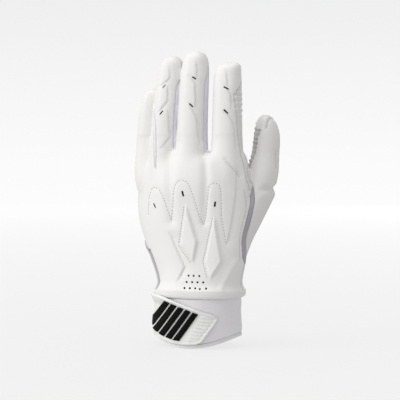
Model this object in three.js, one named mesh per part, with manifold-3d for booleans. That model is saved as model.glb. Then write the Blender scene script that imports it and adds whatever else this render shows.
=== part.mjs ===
// A left-hand lineman's football glove, filled as when worn, with the fingers up.
// Millimetres, +Z up. The back of the hand faces -Y and the thumb points to +X.
// The origin is the centre of the wrist opening, level with the lowest point of the hem.
import * as THREE from "three";
import { mergeVertices } from "three/addons/utils/BufferGeometryUtils.js";
import Module from "manifold-3d";

// Walls and clearances
const LEATHER = 1.7; // wall of every leather and stretch panel
const NEOPRENE = 2.6; // wall of the cuff
const SEAM = 0.3; // clearance between two panels that are sewn together

// Cuff and wrist, from the hem upwards
const CUFF_WIDTH = 73.6;
const CUFF_SHIFT = 1.5; // the strap draws the cuff in on its side, so it sits this far towards the thumb
const CUFF_DEPTH = 57;
const CUFF_TOP = 40; // height of the cuff's upper edge
const HEM_RISE = 8.5; // the hem is this much higher at the sides than in front
const HEM_BAND = 3; // height of the binding at the hem
const HEM_PROUD = 0.4; // the binding stands out from the cuff by this
const ROLL_HEIGHT = 6; // the rounded fold between cuff and hand
const ROLL_THICK = 5.2;
const WRIST_WIDTH = 71;
const WRIST_DEPTH = 53;

// Hand
const HAND_LENGTH = 108; // from the fold to the crotches of the fingers
const HAND_WIDTH = 101;
const HAND_DEPTH = 35;
const KNUCKLE_UP = 86; // from the fold to the line where the fingers start
const ARCH = 11.5; // how far the little-finger side falls back behind the middle finger
const ARCH_END = 1.3; // the fall stops growing at this many times the little finger's distance
const ARCH_INDEX = 0.35; // the index side falls by this share of it
const ARCH_LIFT = 2; // how far the knuckles stand forward of the wrist
const CURL = 6; // how far the longest fingertip leans towards the palm

// Fingers, as shares of the middle finger: length above the knuckle line, width and depth. Their place across
// the hand and the sideways lean of their tips are shares of half the hand's width.
const FINGER_LENGTH = 110.5;
const FINGER_WIDTH = 24.4;
const FINGER_DEPTH = 21.5;
const FINGERS = [
  { across: 0.511, long: 0.91, wide: 0.996, deep: 1, lean: -0.016 }, // index
  { across: -0.087, long: 1, wide: 1, deep: 1, lean: 0.044 }, // middle
  { across: -0.59, long: 0.968, wide: 0.943, deep: 0.953, lean: 0.119 }, // ring
  { across: -0.943, long: 0.729, wide: 0.84, deep: 0.907, lean: 0.067 }, // little finger
].map((row) => ({
  x: (row.across * HAND_WIDTH) / 2,
  length: row.long * FINGER_LENGTH,
  width: row.wide * FINGER_WIDTH,
  depth: row.deep * FINGER_DEPTH,
  lean: (row.lean * HAND_WIDTH) / 2,
}));
const [INDEX, MIDDLE, RING, PINKY] = FINGERS;

// Thumb, from the ball of the thumb at the wrist to its tip
const THUMB_START = 12; // the ball of the thumb starts this far above the fold
const THUMB_LENGTH = 132;
const THUMB_WIDTH = 22;
const THUMB_DEPTH = 21;
const BALL_WIDTH = 35; // across the ball of the thumb
const THUMB_OUT = 53; // how far the thumb stands out from the middle of the hand
const THUMB_FORWARD = 24; // how far the tip stands in front of the palm

// Seams
const FOURCHETTE = 10; // width of the strips between the fingers
const INDEX_SIDE = 7.5; // reach of the index side panel round to the back of the finger
const PINKY_SEAM = 4; // the back wraps this far round the little-finger side
const PINKY_WEDGE = 42; // height of the stretch wedge above the fold
const PINKY_WEDGE_FRONT = 19; // how far it reaches to the front at the wrist
const GATHER_WIDTH = 11.5; // the gathered strip on the thumb
const GATHER_FROM = 0.485; // it starts at this share of the thumb's length
const GATHER_BACK = 0.82; // this share of its width lies towards the back of the hand
const GUSSET_WIDTH = 3.7; // the mesh strip beside the thumb

// Raised work on the back
const PAD_RISE = 1.9; // the four pads over the metacarpal bones
const PLATE_RISE = 1.2; // the plates on the fingers
const VENT = 1.3; // width of a vent hole
const VENT_SIDES = 6;
const VENT_PITCH = 4.1;
const VENT_ROWS = [3, 4, 5]; // holes in each row, from the top
const VENT_ROW_PITCH = 5;
const VENT_ACROSS = -3; // the middle of the vent field on the turned plane
const VENT_UP = 2.8; // the lowest row above the fold

// Closure strap
const STRAP_THICK = 1.8;
const STRAP_RIM = 2.4; // width of the raised rim
const RIM_RISE = 0.9;
const RIB_PITCH = 3;
const RIB_WIDTH = 1.2;
const RIB_RISE = 0.6;
const RIB_RISING = 5; // a rib is this much higher at its left end
const BAR_COUNT = 5;
const BAR_RISE = 1;

// The back's features are laid out on a plane turned this far towards the thumb.
const TURN = THREE.MathUtils.degToRad(20);
const FINGER_SIDES = 12;
const INNER_SIDES = 2 / 3; // the unseen inner faces have this share of the sides
const HAND_SIDES = 24;
const HOOP_STEPS = 28;
const LEAST_HALF = 0.6; // no ring of a fingertip gets narrower than twice this
const TIP_SHARE = 0.9; // rings above this share of a finger move up as its skin grows
const FAR = 120; // half the length of a cutting solid

const FOLD_BOTTOM = CUFF_TOP + SEAM;
const FOLD_TOP = FOLD_BOTTOM + ROLL_HEIGHT;
const HAND_BOTTOM = FOLD_TOP + SEAM;
const HAND_TOP = HAND_BOTTOM + HAND_LENGTH;
const KNUCKLE_Z = HAND_BOTTOM + KNUCKLE_UP;
const mix = THREE.MathUtils.lerp;
const clamp = THREE.MathUtils.clamp;

const wasm = await Module();
wasm.setup();

function solidOf(geometry) {
  geometry.deleteAttribute("normal");
  geometry.deleteAttribute("uv");
  const merged = mergeVertices(geometry, 1e-4);
  return new wasm.Manifold(
    new wasm.Mesh({
      numProp: 3,
      vertProperties: new Float32Array(merged.attributes.position.array),
      triVerts: new Uint32Array(merged.index.array),
    }),
  );
}

function geometryOf(points, triangles) {
  const geometry = new THREE.BufferGeometry();
  geometry.setAttribute("position", new THREE.Float32BufferAttribute(points.flat(), 3));
  geometry.setIndex(triangles.flat());
  return geometry;
}

function meshOf(name, solid, material) {
  const made = solid.getMesh();
  const geometry = new THREE.BufferGeometry();
  geometry.setAttribute("position", new THREE.Float32BufferAttribute(made.vertProperties, 3));
  geometry.setIndex(Array.from(made.triVerts));
  geometry.computeVertexNormals();
  const mesh = new THREE.Mesh(geometry, material);
  mesh.name = name;
  return mesh;
}

// A solid through rings of equal count, listed upwards, closed by a fan at each end.
function loft(rings) {
  const count = rings[0].length;
  const points = rings.flat();
  const triangles = [];
  for (let r = 0; r < rings.length - 1; r++)
    for (let i = 0; i < count; i++) {
      const a = r * count + i;
      const b = r * count + ((i + 1) % count);
      triangles.push([a, b, b + count], [a, b + count, a + count]);
    }
  const middle = (ring) =>
    [0, 1, 2].map((axis) => ring.reduce((sum, p) => sum + p[axis], 0) / count);
  const low = points.push(middle(rings[0])) - 1;
  const high = points.push(middle(rings.at(-1))) - 1;
  const top = (rings.length - 1) * count;
  for (let i = 0; i < count; i++) {
    const next = (i + 1) % count;
    triangles.push([low, next, i], [high, top + i, top + next]);
  }
  return solidOf(geometryOf(points, triangles));
}

// A closed band round the wrist. section(angle) is a loop of points, anticlockwise in [outwards, up].
function hoop(section) {
  const loops = [];
  for (let i = 0; i < HOOP_STEPS; i++) loops.push(section((i / HOOP_STEPS) * 2 * Math.PI));
  const count = loops[0].length;
  const triangles = [];
  for (let i = 0; i < HOOP_STEPS; i++)
    for (let k = 0; k < count; k++) {
      const here = i * count;
      const there = ((i + 1) % HOOP_STEPS) * count;
      const next = (k + 1) % count;
      triangles.push([here + k, there + k, there + next], [here + k, there + next, here + next]);
    }
  return solidOf(geometryOf(loops.flat(), triangles));
}

// A prism on the turned plane, from an outline of [across, up] points, anticlockwise, and its reach backwards
// and forwards.
const PLANE = new THREE.Matrix4().makeBasis(
  new THREE.Vector3(Math.cos(TURN), Math.sin(TURN), 0),
  new THREE.Vector3(0, 0, 1),
  new THREE.Vector3(Math.sin(TURN), -Math.cos(TURN), 0),
);
function prism(outline, back = 0, front = FAR) {
  const shape = new THREE.Shape(outline.map(([across, up]) => new THREE.Vector2(across, up)));
  const geometry = new THREE.ExtrudeGeometry(shape, { depth: front - back, bevelEnabled: false });
  geometry.translate(0, 0, back).applyMatrix4(PLANE);
  return solidOf(geometry);
}

// A prism straight through the hand along Y, from an outline of [x, z] points, anticlockwise seen from the back.
function through(outline) {
  const shape = new THREE.Shape(outline.map(([x, z]) => new THREE.Vector2(x, z)));
  const geometry = new THREE.ExtrudeGeometry(shape, { depth: 2 * FAR, bevelEnabled: false });
  return solidOf(geometry.rotateX(Math.PI / 2).translate(0, FAR, 0));
}

// The solid between two surfaces y = front(x, z) and y = back(x, z).
function between(xs, zs, front, back) {
  const points = [];
  for (const surface of [front, back])
    for (const z of zs) for (const x of xs) points.push([x, surface(x, z), z]);
  const wide = xs.length;
  const half = wide * zs.length;
  const triangles = [];
  const quad = (a, b, c, d) => triangles.push([a, b, c], [a, c, d]);
  for (let j = 0; j < zs.length - 1; j++)
    for (let i = 0; i < wide - 1; i++) {
      const a = j * wide + i;
      quad(a, a + 1, a + wide + 1, a + wide);
      quad(half + a, half + a + wide, half + a + wide + 1, half + a + 1);
    }
  for (let i = 0; i < wide - 1; i++) {
    const top = (zs.length - 1) * wide + i;
    quad(i + 1, i, half + i, half + i + 1);
    quad(top, top + 1, half + top + 1, half + top);
  }
  for (let j = 0; j < zs.length - 1; j++) {
    const left = j * wide;
    const right = left + wide - 1;
    quad(left, left + wide, half + left + wide, half + left);
    quad(right + wide, right, half + right, half + right + wide);
  }
  return solidOf(geometryOf(points, triangles));
}

// A row of a table of sections at a share of the way, interpolated between its neighbours.
function rowAt(table, at) {
  const next = clamp(table.findIndex((row) => row.at >= at), 1, table.length - 1);
  const [low, high] = [table[next - 1], table[next]];
  const share = clamp((at - low.at) / (high.at - low.at), 0, 1);
  return Object.fromEntries(Object.keys(low).map((key) => [key, mix(low[key], high[key], share)]));
}

// The hand's middle surface: the arch across the knuckles grows upwards from the wrist, and the fingers curl.
function middle(x, z) {
  const grown = clamp((z - HAND_BOTTOM) / KNUCKLE_UP, 0, 1);
  const across = (x - MIDDLE.x) / (PINKY.x - MIDDLE.x);
  const curl = Math.max(0, (z - KNUCKLE_Z) / FINGER_LENGTH);
  const fall = ARCH * Math.min(across, ARCH_END) ** 2 * (across > 0 ? 1 : ARCH_INDEX);
  return grown * (fall - ARCH_LIFT) + CURL * curl ** 2;
}

// Hand sections: height as a share of the hand's length, growth of the width from wrist to hand and of
// the depth, the middle's place across as a share of the width, and the fall towards the little finger.
const HAND_SECTIONS = [
  { at: 0, wide: 0, thin: 0, across: 0.012, fall: 0 },
  { at: 0.1, wide: 0.13, thin: 0.3, across: 0.006, fall: 0 },
  { at: 0.2, wide: 0.36, thin: 0.55, across: -0.004, fall: 0 },
  { at: 0.37, wide: 0.65, thin: 0.8, across: -0.028, fall: 0 },
  { at: 0.52, wide: 0.9, thin: 0.92, across: -0.05, fall: 0 },
  { at: 0.66, wide: 1.03, thin: 0.97, across: -0.061, fall: 0.02 },
  { at: 0.8, wide: 1.04, thin: 1, across: -0.062, fall: 0.05 },
  { at: 0.9, wide: 0.97, thin: 1.22, across: -0.07, fall: 0.08 },
  { at: 0.97, wide: 0.88, thin: 1.45, across: -0.075, fall: 0.1 },
  { at: 1, wide: 0.76, thin: 1.7, across: -0.075, fall: 0.1 },
];
const SQUARE = 2.4; // how square the hand's section is, 2 for an ellipse

function bulge(angle, power) {
  const [c, s] = [Math.cos(angle), Math.sin(angle)];
  return [Math.sign(c) * Math.abs(c) ** (2 / power), Math.sign(s) * Math.abs(s) ** (2 / power)];
}

const sidesOf = (sides, inner) => Math.round(sides * (inner ? INNER_SIDES : 1));

function handBody(grow, inner) {
  const sides = sidesOf(HAND_SIDES, inner);
  const rings = HAND_SECTIONS.map((row, level) => {
    const halfWide = mix(WRIST_WIDTH, HAND_WIDTH, row.wide) / 2 + grow;
    const halfDeep = mix(WRIST_DEPTH, HAND_DEPTH, row.thin) / 2 + grow;
    const z = HAND_BOTTOM + row.at * HAND_LENGTH + (level === 0 && inner ? 2 * grow : 0);
    const ring = [];
    for (let i = 0; i < sides; i++) {
      const [c, s] = bulge((i / sides) * 2 * Math.PI, SQUARE);
      const x = row.across * HAND_WIDTH + halfWide * c;
      ring.push([x, middle(x, z) + halfDeep * s, z + row.fall * halfWide * c + (row.at > TIP_SHARE ? grow : 0)]);
    }
    return ring;
  });
  return loft(rings);
}

// Finger sections: height as a share of the finger's length, and width and depth as shares of the finger's.
const FINGER_SECTIONS = [
  { at: -0.14, wide: 0.6, deep: 0.8 },
  { at: 0, wide: 0.92, deep: 1.3 },
  { at: 0.12, wide: 1.1, deep: 1.28 },
  { at: 0.24, wide: 1.08, deep: 1.15 },
  { at: 0.4, wide: 1.01, deep: 1.05 },
  { at: 0.78, wide: 0.95, deep: 0.95 },
  { at: 0.88, wide: 0.9, deep: 0.88 },
  { at: 0.95, wide: 0.76, deep: 0.74 },
  { at: 0.985, wide: 0.52, deep: 0.5 },
  { at: 1, wide: 0.22, deep: 0.22 },
];
const FINGER_SQUARE = 2.25;
const fingerX = (f, at) => f.x + f.lean * clamp(at, 0, 1) ** 2;

function fingerBody(f, grow, inner) {
  const sides = sidesOf(FINGER_SIDES, inner);
  const rings = FINGER_SECTIONS.map((row) => {
    const z = KNUCKLE_Z + row.at * f.length + (row.at > TIP_SHARE ? grow : 0);
    const x = fingerX(f, row.at);
    const ring = [];
    for (let i = 0; i < sides; i++) {
      const [c, s] = bulge(((i + 0.5) / sides) * 2 * Math.PI, FINGER_SQUARE);
      const halfWide = Math.max((f.width / 2) * row.wide + grow, LEAST_HALF);
      const halfDeep = Math.max((f.depth / 2) * row.deep + grow, LEAST_HALF);
      ring.push([x + halfWide * c, middle(x, z) + halfDeep * s, z]);
    }
    return ring;
  });
  return loft(rings);
}

// Thumb sections: height as a share of the thumb's length, place outwards and forwards as shares of
// THUMB_OUT and THUMB_FORWARD, and growth of width and depth from the thumb to its ball.
const THUMB_SECTIONS = [
  { at: 0, out: 0.34, forward: 0.25, ball: 0.85, end: 1 },
  { at: 0.13, out: 0.42, forward: 0.36, ball: 1, end: 1 },
  { at: 0.22, out: 0.5, forward: 0.44, ball: 1, end: 1 },
  { at: 0.3, out: 0.6, forward: 0.51, ball: 0.98, end: 1 },
  { at: 0.38, out: 0.7, forward: 0.58, ball: 0.93, end: 1 },
  { at: 0.46, out: 0.8, forward: 0.66, ball: 0.84, end: 1 },
  { at: 0.54, out: 0.87, forward: 0.73, ball: 0.64, end: 1 },
  { at: 0.64, out: 0.94, forward: 0.81, ball: 0.4, end: 1 },
  { at: 0.75, out: 0.985, forward: 0.89, ball: 0.06, end: 1 },
  { at: 0.86, out: 1, forward: 0.96, ball: 0, end: 0.97 },
  { at: 0.93, out: 0.99, forward: 0.99, ball: 0, end: 0.82 },
  { at: 0.98, out: 0.975, forward: 1, ball: 0, end: 0.52 },
  { at: 1, out: 0.97, forward: 1, ball: 0, end: 0.18 },
];
const THUMB_BOTTOM = HAND_BOTTOM + THUMB_START;

function thumbBody(grow, inner) {
  const sides = sidesOf(FINGER_SIDES, inner);
  const rings = THUMB_SECTIONS.map((row) => {
    const halfWide = Math.max((mix(THUMB_WIDTH, BALL_WIDTH, row.ball) / 2) * row.end + grow, LEAST_HALF);
    const halfDeep = Math.max((mix(THUMB_DEPTH, BALL_WIDTH, row.ball) / 2) * row.end + grow, LEAST_HALF);
    const z = THUMB_BOTTOM + row.at * THUMB_LENGTH + (row.at > TIP_SHARE ? grow : 0);
    const ring = [];
    for (let i = 0; i < sides; i++) {
      const [c, s] = bulge(((i + 0.5) / sides) * 2 * Math.PI, 2);
      ring.push([row.out * THUMB_OUT + halfWide * c, row.forward * THUMB_FORWARD + halfDeep * s, z]);
    }
    return ring;
  });
  return loft(rings);
}

function gloveBody(grow, inner = false) {
  const fingers = FINGERS.map((f) => fingerBody(f, grow, inner));
  return fingers.reduce((body, finger) => body.add(finger), handBody(grow, inner)).add(thumbBody(grow, inner));
}
const skin = gloveBody(0);
const wall = skin.subtract(gloveBody(-LEATHER, true));

// Seam lines. Each strip between the fingers lies about the middle surface, from the crotch to near the tips.
const tipOf = (f) => KNUCKLE_Z + f.length;
const STRIP_TAPER = 12; // a strip narrows to its ends over this height
const CROTCH_DROP = 6; // the strips start this far below the hand's top
const TIP_SEAM = 14; // and end this far below the tips
const LEAST_STRIP = 0.02; // thickness of the cutting sheet where there is no strip
const swell = (z, low, high) => clamp(Math.min((z - low) / STRIP_TAPER, (high - z) / STRIP_TAPER), 0, 1);

function stripReach(x, z) {
  const low = HAND_TOP - CROTCH_DROP - STRIP_TAPER;
  const below = z < low - STRIP_TAPER;
  if (x > (below ? MIDDLE.x : INDEX.x)) {
    const full = swell(z, low - STRIP_TAPER, tipOf(INDEX) - TIP_SEAM);
    return { back: -INDEX_SIDE * full, palm: (FOURCHETTE / 2) * full };
  }
  if (x < (below ? MIDDLE.x : PINKY.x)) {
    const wedge = clamp(1 - (z - HAND_BOTTOM) / PINKY_WEDGE, 0, 1);
    return { back: mix(PINKY_SEAM, -PINKY_WEDGE_FRONT, wedge), palm: PINKY_SEAM };
  }
  const shorter = FINGERS.filter((f) => f.x <= x).reduce((a, b) => (a.x > b.x ? a : b));
  const full = swell(z, low, tipOf(shorter) - TIP_SEAM);
  return { back: (-FOURCHETTE / 2) * full, palm: (FOURCHETTE / 2) * full };
}
// The cutting sheets' columns: past the hand on both sides, beside it, and on both sides of each finger's
// middle, where a sheet changes from one strip to the next inside a hollow finger.
const CENTRE_STEP = 3;
const BESIDE = 15;
const PAST = 60;
const sheetXs = [
  PINKY.x - PAST,
  PINKY.x - BESIDE,
  ...FINGERS.toReversed().flatMap((f) => [f.x - CENTRE_STEP, f.x + CENTRE_STEP]),
  INDEX.x + BESIDE,
  INDEX.x + PAST,
];
const SHEET_STEP = 17; // height between two rows of a cutting sheet
const sheetRows = (top) => {
  const zs = [];
  for (let z = HAND_BOTTOM - SHEET_STEP / 3; z < top + SHEET_STEP; z += SHEET_STEP) zs.push(z);
  return zs;
};
const sheetZs = sheetRows(tipOf(MIDDLE));
const backEdge = (x, z) => middle(x, z) + stripReach(x, z).back;
const palmEdge = (x, z) => middle(x, z) + stripReach(x, z).palm;
// The three zones in front of, between and behind two seam surfaces, with half a seam's clearance on each side.
function zonesOf(xs, zs, back, palm) {
  const centre = (x, z) => (back(x, z) + palm(x, z)) / 2;
  return {
    back: between(xs, zs, () => -FAR, (x, z) => back(x, z) - SEAM / 2),
    palm: between(xs, zs, (x, z) => palm(x, z) + SEAM / 2, () => FAR),
    strip: between(
      xs,
      zs,
      (x, z) => Math.min(back(x, z) + SEAM / 2, centre(x, z) - LEAST_STRIP / 2),
      (x, z) => Math.max(palm(x, z) - SEAM / 2, centre(x, z) + LEAST_STRIP / 2),
    ),
  };
}
const hand = zonesOf(sheetXs, sheetZs, backEdge, palmEdge);

// The thumb seam on the turned plane, in the same shares as the pads below: it runs up the mesh strip,
// over the crotch of the thumb and between thumb and index finger.
const THUMB_SEAM = [
  { across: 0.798, up: 0.185 },
  { across: 0.804, up: 0.287 },
  { across: 0.796, up: 0.37 },
  { across: 0.818, up: 0.44 },
  { across: 0.859, up: 0.509 },
  { across: 0.903, up: 0.597 },
  { across: 0.929, up: 0.681 },
  { across: 0.903, up: 0.787 },
  { across: 0.828, up: 0.866 },
  { across: 0.816, up: 0.907 },
  { across: 0.861, up: 1.04 },
];
const seamLine = (shift) =>
  THUMB_SEAM.map((p) => [(p.across * HAND_WIDTH) / 2 + shift, HAND_BOTTOM + p.up * HAND_LENGTH]);
const thumbOutline = (shift) => {
  const line = seamLine(shift);
  const top = line.at(-1)[1] + PAST;
  return [[FAR, line[0][1]], [FAR, top], [line.at(-1)[0], top], ...line.toReversed()];
};
const thumbZone = prism(thumbOutline(SEAM / 2), -FAR);
const handZone = prism(thumbOutline(-SEAM / 2), -FAR);
const GUSSET_ROWS = 8; // the mesh strip follows this many points of the seam
const GUSSET_END = 0.25; // its ends have this share of its width
const gussetOutline = (grow) => {
  const line = seamLine(0).slice(0, GUSSET_ROWS);
  const right = line.map(([across, up]) => [across - SEAM / 2 + grow, up]);
  const ends = (i) => (i === 0 || i === line.length - 1 ? GUSSET_END : 1);
  const left = right.map(([across, up], i) => [across - GUSSET_WIDTH * ends(i) - 2 * grow, up]);
  return [...right, ...left.toReversed()];
};
const gussetZone = prism(gussetOutline(0));
const gussetRoom = prism(gussetOutline(SEAM));

// Raised pads over the bones of the hand, as outlines of [across, up] on the turned plane: across as a share
// of half the hand's width, up from the fold as a share of the hand's length.
const PADS = [
  [[-0.208, 0.657], [-0.297, 0.319], [-0.0792, 0.181], [0, 0.352]],
  [[0.263, 0.574], [0.107, 0.199], [0.206, 0.0556], [0.4, 0.199]],
  [[-0.584, 0.509], [-0.614, 0.296], [-0.347, 0.0741], [-0.248, 0.162], [-0.416, 0.315]],
  [[0.624, 0.222], [0.485, 0.102], [0.386, 0.0278], [0.485, 0.0278], [0.653, 0.157]],
];
const place = (outline) =>
  outline.map(([across, up]) => [(across * HAND_WIDTH) / 2, HAND_BOTTOM + up * HAND_LENGTH]);

// Plates on the fingers: from and to as shares of the finger's length, and the slant of their ends.
const PLATES = [
  { from: 0.1, to: 0.36, slant: 0.05 },
  { from: 0.4, to: 0.62, slant: 0.05 },
  { from: 0.66, to: 0.88, slant: 0.04 },
];
const PLATE_WIDE = 0.56; // of the finger's width
function plateOutline(f, plate) {
  const corner = (at, side) => {
    const z = KNUCKLE_Z + at * f.length;
    const x = fingerX(f, at) + (side * f.width * PLATE_WIDE) / 2;
    return [x * Math.cos(TURN) + (middle(x, z) - f.depth / 2) * Math.sin(TURN), z];
  };
  return [
    corner(plate.from, 0),
    corner(plate.from + plate.slant, 1),
    corner(plate.to - plate.slant, 1),
    corner(plate.to, 0),
    corner(plate.to - plate.slant, -1),
    corner(plate.from + plate.slant, -1),
  ];
}

function ventHoles() {
  const holes = [];
  VENT_ROWS.forEach((count, row) => {
    const up = HAND_BOTTOM + VENT_UP + (VENT_ROWS.length - 1 - row) * VENT_ROW_PITCH;
    for (let i = 0; i < count; i++) {
      const across = VENT_ACROSS + (i - (count - 1) / 2) * VENT_PITCH;
      const corner = (k) => (k * 2 * Math.PI) / VENT_SIDES;
      holes.push(
        prism(
          Array.from({ length: VENT_SIDES }, (_, k) => [
            across + (VENT / 2) * Math.cos(corner(k)),
            up + (VENT / 2) * Math.sin(corner(k)),
          ]),
        ),
      );
    }
  });
  return holes.reduce((all, hole) => all.add(hole));
}

function backPanel() {
  const onBack = (solid) => solid.intersect(hand.back).subtract(handZone).subtract(gussetRoom);
  const core = gloveBody(-LEATHER / 2);
  const padLayer = gloveBody(PAD_RISE).subtract(core);
  const plateLayer = gloveBody(PLATE_RISE).subtract(core);
  const pads = PADS.map((outline) => prism(place(outline)).intersect(padLayer));
  const plates = [INDEX, MIDDLE, RING].flatMap((f) => {
    const depth = f.x * Math.sin(TURN) - middle(f.x, tipOf(f)) * Math.cos(TURN);
    return PLATES.map((plate) => prism(plateOutline(f, plate), depth).intersect(plateLayer));
  });
  const raised = [...pads, ...plates].reduce((panel, solid) => panel.add(solid), wall);
  return onBack(raised).subtract(ventHoles());
}

const END_GAP = 1; // a strip stops this far before the height where it tapers to nothing

// The strip between two neighbouring fingers, bounded by their middles.
function fourchette(left, right) {
  const top = Math.min(tipOf(left), tipOf(right)) - TIP_SEAM - END_GAP;
  const at = (f, z) => fingerX(f, (z - KNUCKLE_Z) / f.length);
  const low = HAND_TOP - CROTCH_DROP - STRIP_TAPER + END_GAP;
  const lowEnd = [[at(left, low), low], [at(right, low), low]];
  const room = through([...lowEnd, [at(right, top), top], [at(left, top), top]]);
  return wall.intersect(hand.strip).intersect(room);
}

const largest = (solid) => solid.decompose().reduce((a, b) => (a.volume() > b.volume() ? a : b));

function indexSide() {
  const low = HAND_TOP - CROTCH_DROP - 2 * STRIP_TAPER + 2 * END_GAP;
  const top = tipOf(INDEX) - TIP_SEAM - END_GAP;
  const room = through([[INDEX.x, low], [INDEX.x + PAST, low], [INDEX.x + PAST, top], [INDEX.x, top]]);
  return largest(wall.intersect(hand.strip).intersect(room).subtract(handZone));
}

function pinkyGusset() {
  const top = HAND_BOTTOM + PINKY_WEDGE - 2 * END_GAP;
  const room = through([[-FAR, 0], [MIDDLE.x, 0], [MIDDLE.x, top], [-FAR, top]]);
  return largest(wall.intersect(hand.strip).intersect(room));
}

// Thumb: the gathered strip runs up the side that faces the index finger.
const thumbAt = (z) => rowAt(THUMB_SECTIONS, (z - THUMB_BOTTOM) / THUMB_LENGTH);
const thumbX = (z) => thumbAt(z).out * THUMB_OUT;
const thumbY = (z) => thumbAt(z).forward * THUMB_FORWARD;
const THUMB_TIP = THUMB_BOTTOM + THUMB_LENGTH;
const GATHER_BOTTOM = THUMB_BOTTOM + GATHER_FROM * THUMB_LENGTH;
const gatherReach = (x, z) => {
  const full = x < thumbX(z) ? swell(z, GATHER_BOTTOM, THUMB_TIP - TIP_SEAM / 2) : 0;
  return { back: -GATHER_BACK * GATHER_WIDTH * full, palm: (1 - GATHER_BACK) * GATHER_WIDTH * full };
};
const THUMB_COLUMNS = [0.38, 0.64, 0.87, 0.98, 1.09]; // close together across the thumb
const thumbXs = [-BESIDE, ...THUMB_COLUMNS.map((share) => share * THUMB_OUT), THUMB_OUT + PAST];
const thumbBackEdge = (x, z) => thumbY(z) + gatherReach(x, z).back;
const thumbPalmEdge = (x, z) => thumbY(z) + gatherReach(x, z).palm;
const thumbWall = wall.intersect(thumbZone);

function thumbPieces() {
  const zones = zonesOf(thumbXs, sheetRows(THUMB_TIP), thumbBackEdge, thumbPalmEdge);
  return {
    back: largest(thumbWall.intersect(zones.back)),
    palm: largest(thumbWall.intersect(zones.palm)),
    strip: largest(thumbWall.intersect(zones.strip)),
  };
}

// Cuff, fold and hem
const CUFF_SECTIONS = [
  { at: 0, wide: 1.0 },
  { at: 0.3, wide: 0.985 },
  { at: 0.65, wide: 0.97 },
  { at: 1, wide: 0.97 },
];
const HEM_ROUND = 0.5; // the binding's edges are rounded off by this
const hemZ = (angle) => HEM_RISE * Math.cos(angle) ** 2;
function cuffPoint(angle, row, out) {
  const x = CUFF_SHIFT + ((CUFF_WIDTH / 2) * row.wide + out) * Math.cos(angle);
  const y = ((CUFF_DEPTH / 2) * row.wide + out) * Math.sin(angle);
  return [x, y, mix(hemZ(angle) + HEM_BAND + SEAM, CUFF_TOP, row.at)];
}

function cuff() {
  return hoop((angle) => [
    ...CUFF_SECTIONS.map((row) => cuffPoint(angle, row, 0)),
    ...CUFF_SECTIONS.toReversed().map((row) => cuffPoint(angle, row, -NEOPRENE)),
  ]);
}

function hemBinding() {
  const row = CUFF_SECTIONS[0];
  const corner = (angle, out, up) => {
    const [x, y] = cuffPoint(angle, row, out);
    return [x, y, hemZ(angle) + up];
  };
  const inner = -NEOPRENE - HEM_PROUD;
  return hoop((angle) => [
    corner(angle, HEM_PROUD - HEM_ROUND, 0),
    corner(angle, HEM_PROUD, HEM_ROUND),
    corner(angle, HEM_PROUD, HEM_BAND - HEM_ROUND / 2),
    corner(angle, 0, HEM_BAND),
    corner(angle, -NEOPRENE, HEM_BAND),
    corner(angle, inner, HEM_BAND - HEM_ROUND / 2),
    corner(angle, inner, HEM_ROUND),
    corner(angle, inner + HEM_ROUND, 0),
  ]);
}

const ROLL_SIDES = 8;
const ROLL_SHIFT = 1.3; // the fold sits this far towards the thumb
function rollPoint(angle, out, up) {
  const x = ROLL_SHIFT + (WRIST_WIDTH / 2 + out) * Math.cos(angle);
  const y = (WRIST_DEPTH / 2 + out) * Math.sin(angle);
  return [x, y, (FOLD_BOTTOM + FOLD_TOP) / 2 + up];
}

function wristRoll() {
  const half = ROLL_THICK / 2;
  const turn = (2 * Math.PI) / ROLL_SIDES;
  const section = Array.from({ length: ROLL_SIDES }, (_, k) => bulge((k + 0.5) * turn, SQUARE));
  const tall = ROLL_HEIGHT / 2 / section[1][1];
  return hoop((angle) => section.map(([c, s]) => rollPoint(angle, half - LEATHER + half * c, tall * s)));
}

// What the strap lies on: the cuff, and above it the fold, grown by a clearance.
const STRAP_LIFTS = 0.88; // from this share of the cuff's height the strap rises to the fold
function strapGround(grow) {
  const ring = (point) => Array.from({ length: HOOP_STEPS }, (_, i) => point((i / HOOP_STEPS) * 2 * Math.PI));
  const proud = HEM_PROUD + grow;
  const tops = [...CUFF_SECTIONS.slice(0, -1), { ...CUFF_SECTIONS.at(-1), at: STRAP_LIFTS }];
  const rows = tops.map((row) => ring((angle) => cuffPoint(angle, row, proud)));
  const low = ring((angle) => {
    const [x, y] = cuffPoint(angle, CUFF_SECTIONS[0], proud);
    return [x, y, hemZ(angle) - HEM_RISE];
  });
  const over = ROLL_THICK - LEATHER + grow;
  const high = [-ROLL_HEIGHT / 2, ROLL_HEIGHT / 3].map((up) => ring((angle) => rollPoint(angle, over, up)));
  const top = ring((angle) => rollPoint(angle, over - 1, ROLL_HEIGHT));
  return loft([low, ...rows, ...high, top]);
}

// Strap outline on the turned plane, [across, up], as shares of half the cuff's width and of its height;
// its left end goes round the little-finger side.
const STRAP_OUTLINE = [
  [-1.2, 1.09], [-1.2, 0.3], [-1.03, 0.263], [-0.815, 0.165], [-0.56, 0.095], [-0.299, 0.07],
  [0.0217, 0.085], [0.15, 0.212], [0.394, 0.525], [0.441, 0.625], [0.407, 0.685], [0.147, 0.745],
  [-0.172, 0.85], [-0.517, 0.96], [-0.734, 1.035], [-0.897, 1.07],
];
const STRAP_BACK = [
  [-1.2, 0.3], [-0.217, 0.3], [-0.163, 0.4], [-0.163, 0.85], [-0.217, 0.95], [-0.815, 1.06], [-1.2, 1.09],
];
const RIB_FIELD = [[-0.244, 0.155], [0, 0.16], [0.342, 0.562], [0.326, 0.64], [0.0951, 0.7]];

const onCuff = (outline) => outline.map(([across, up]) => [(across * CUFF_WIDTH) / 2, up * CUFF_TOP]);
const strapOutline = onCuff(STRAP_OUTLINE);

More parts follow.
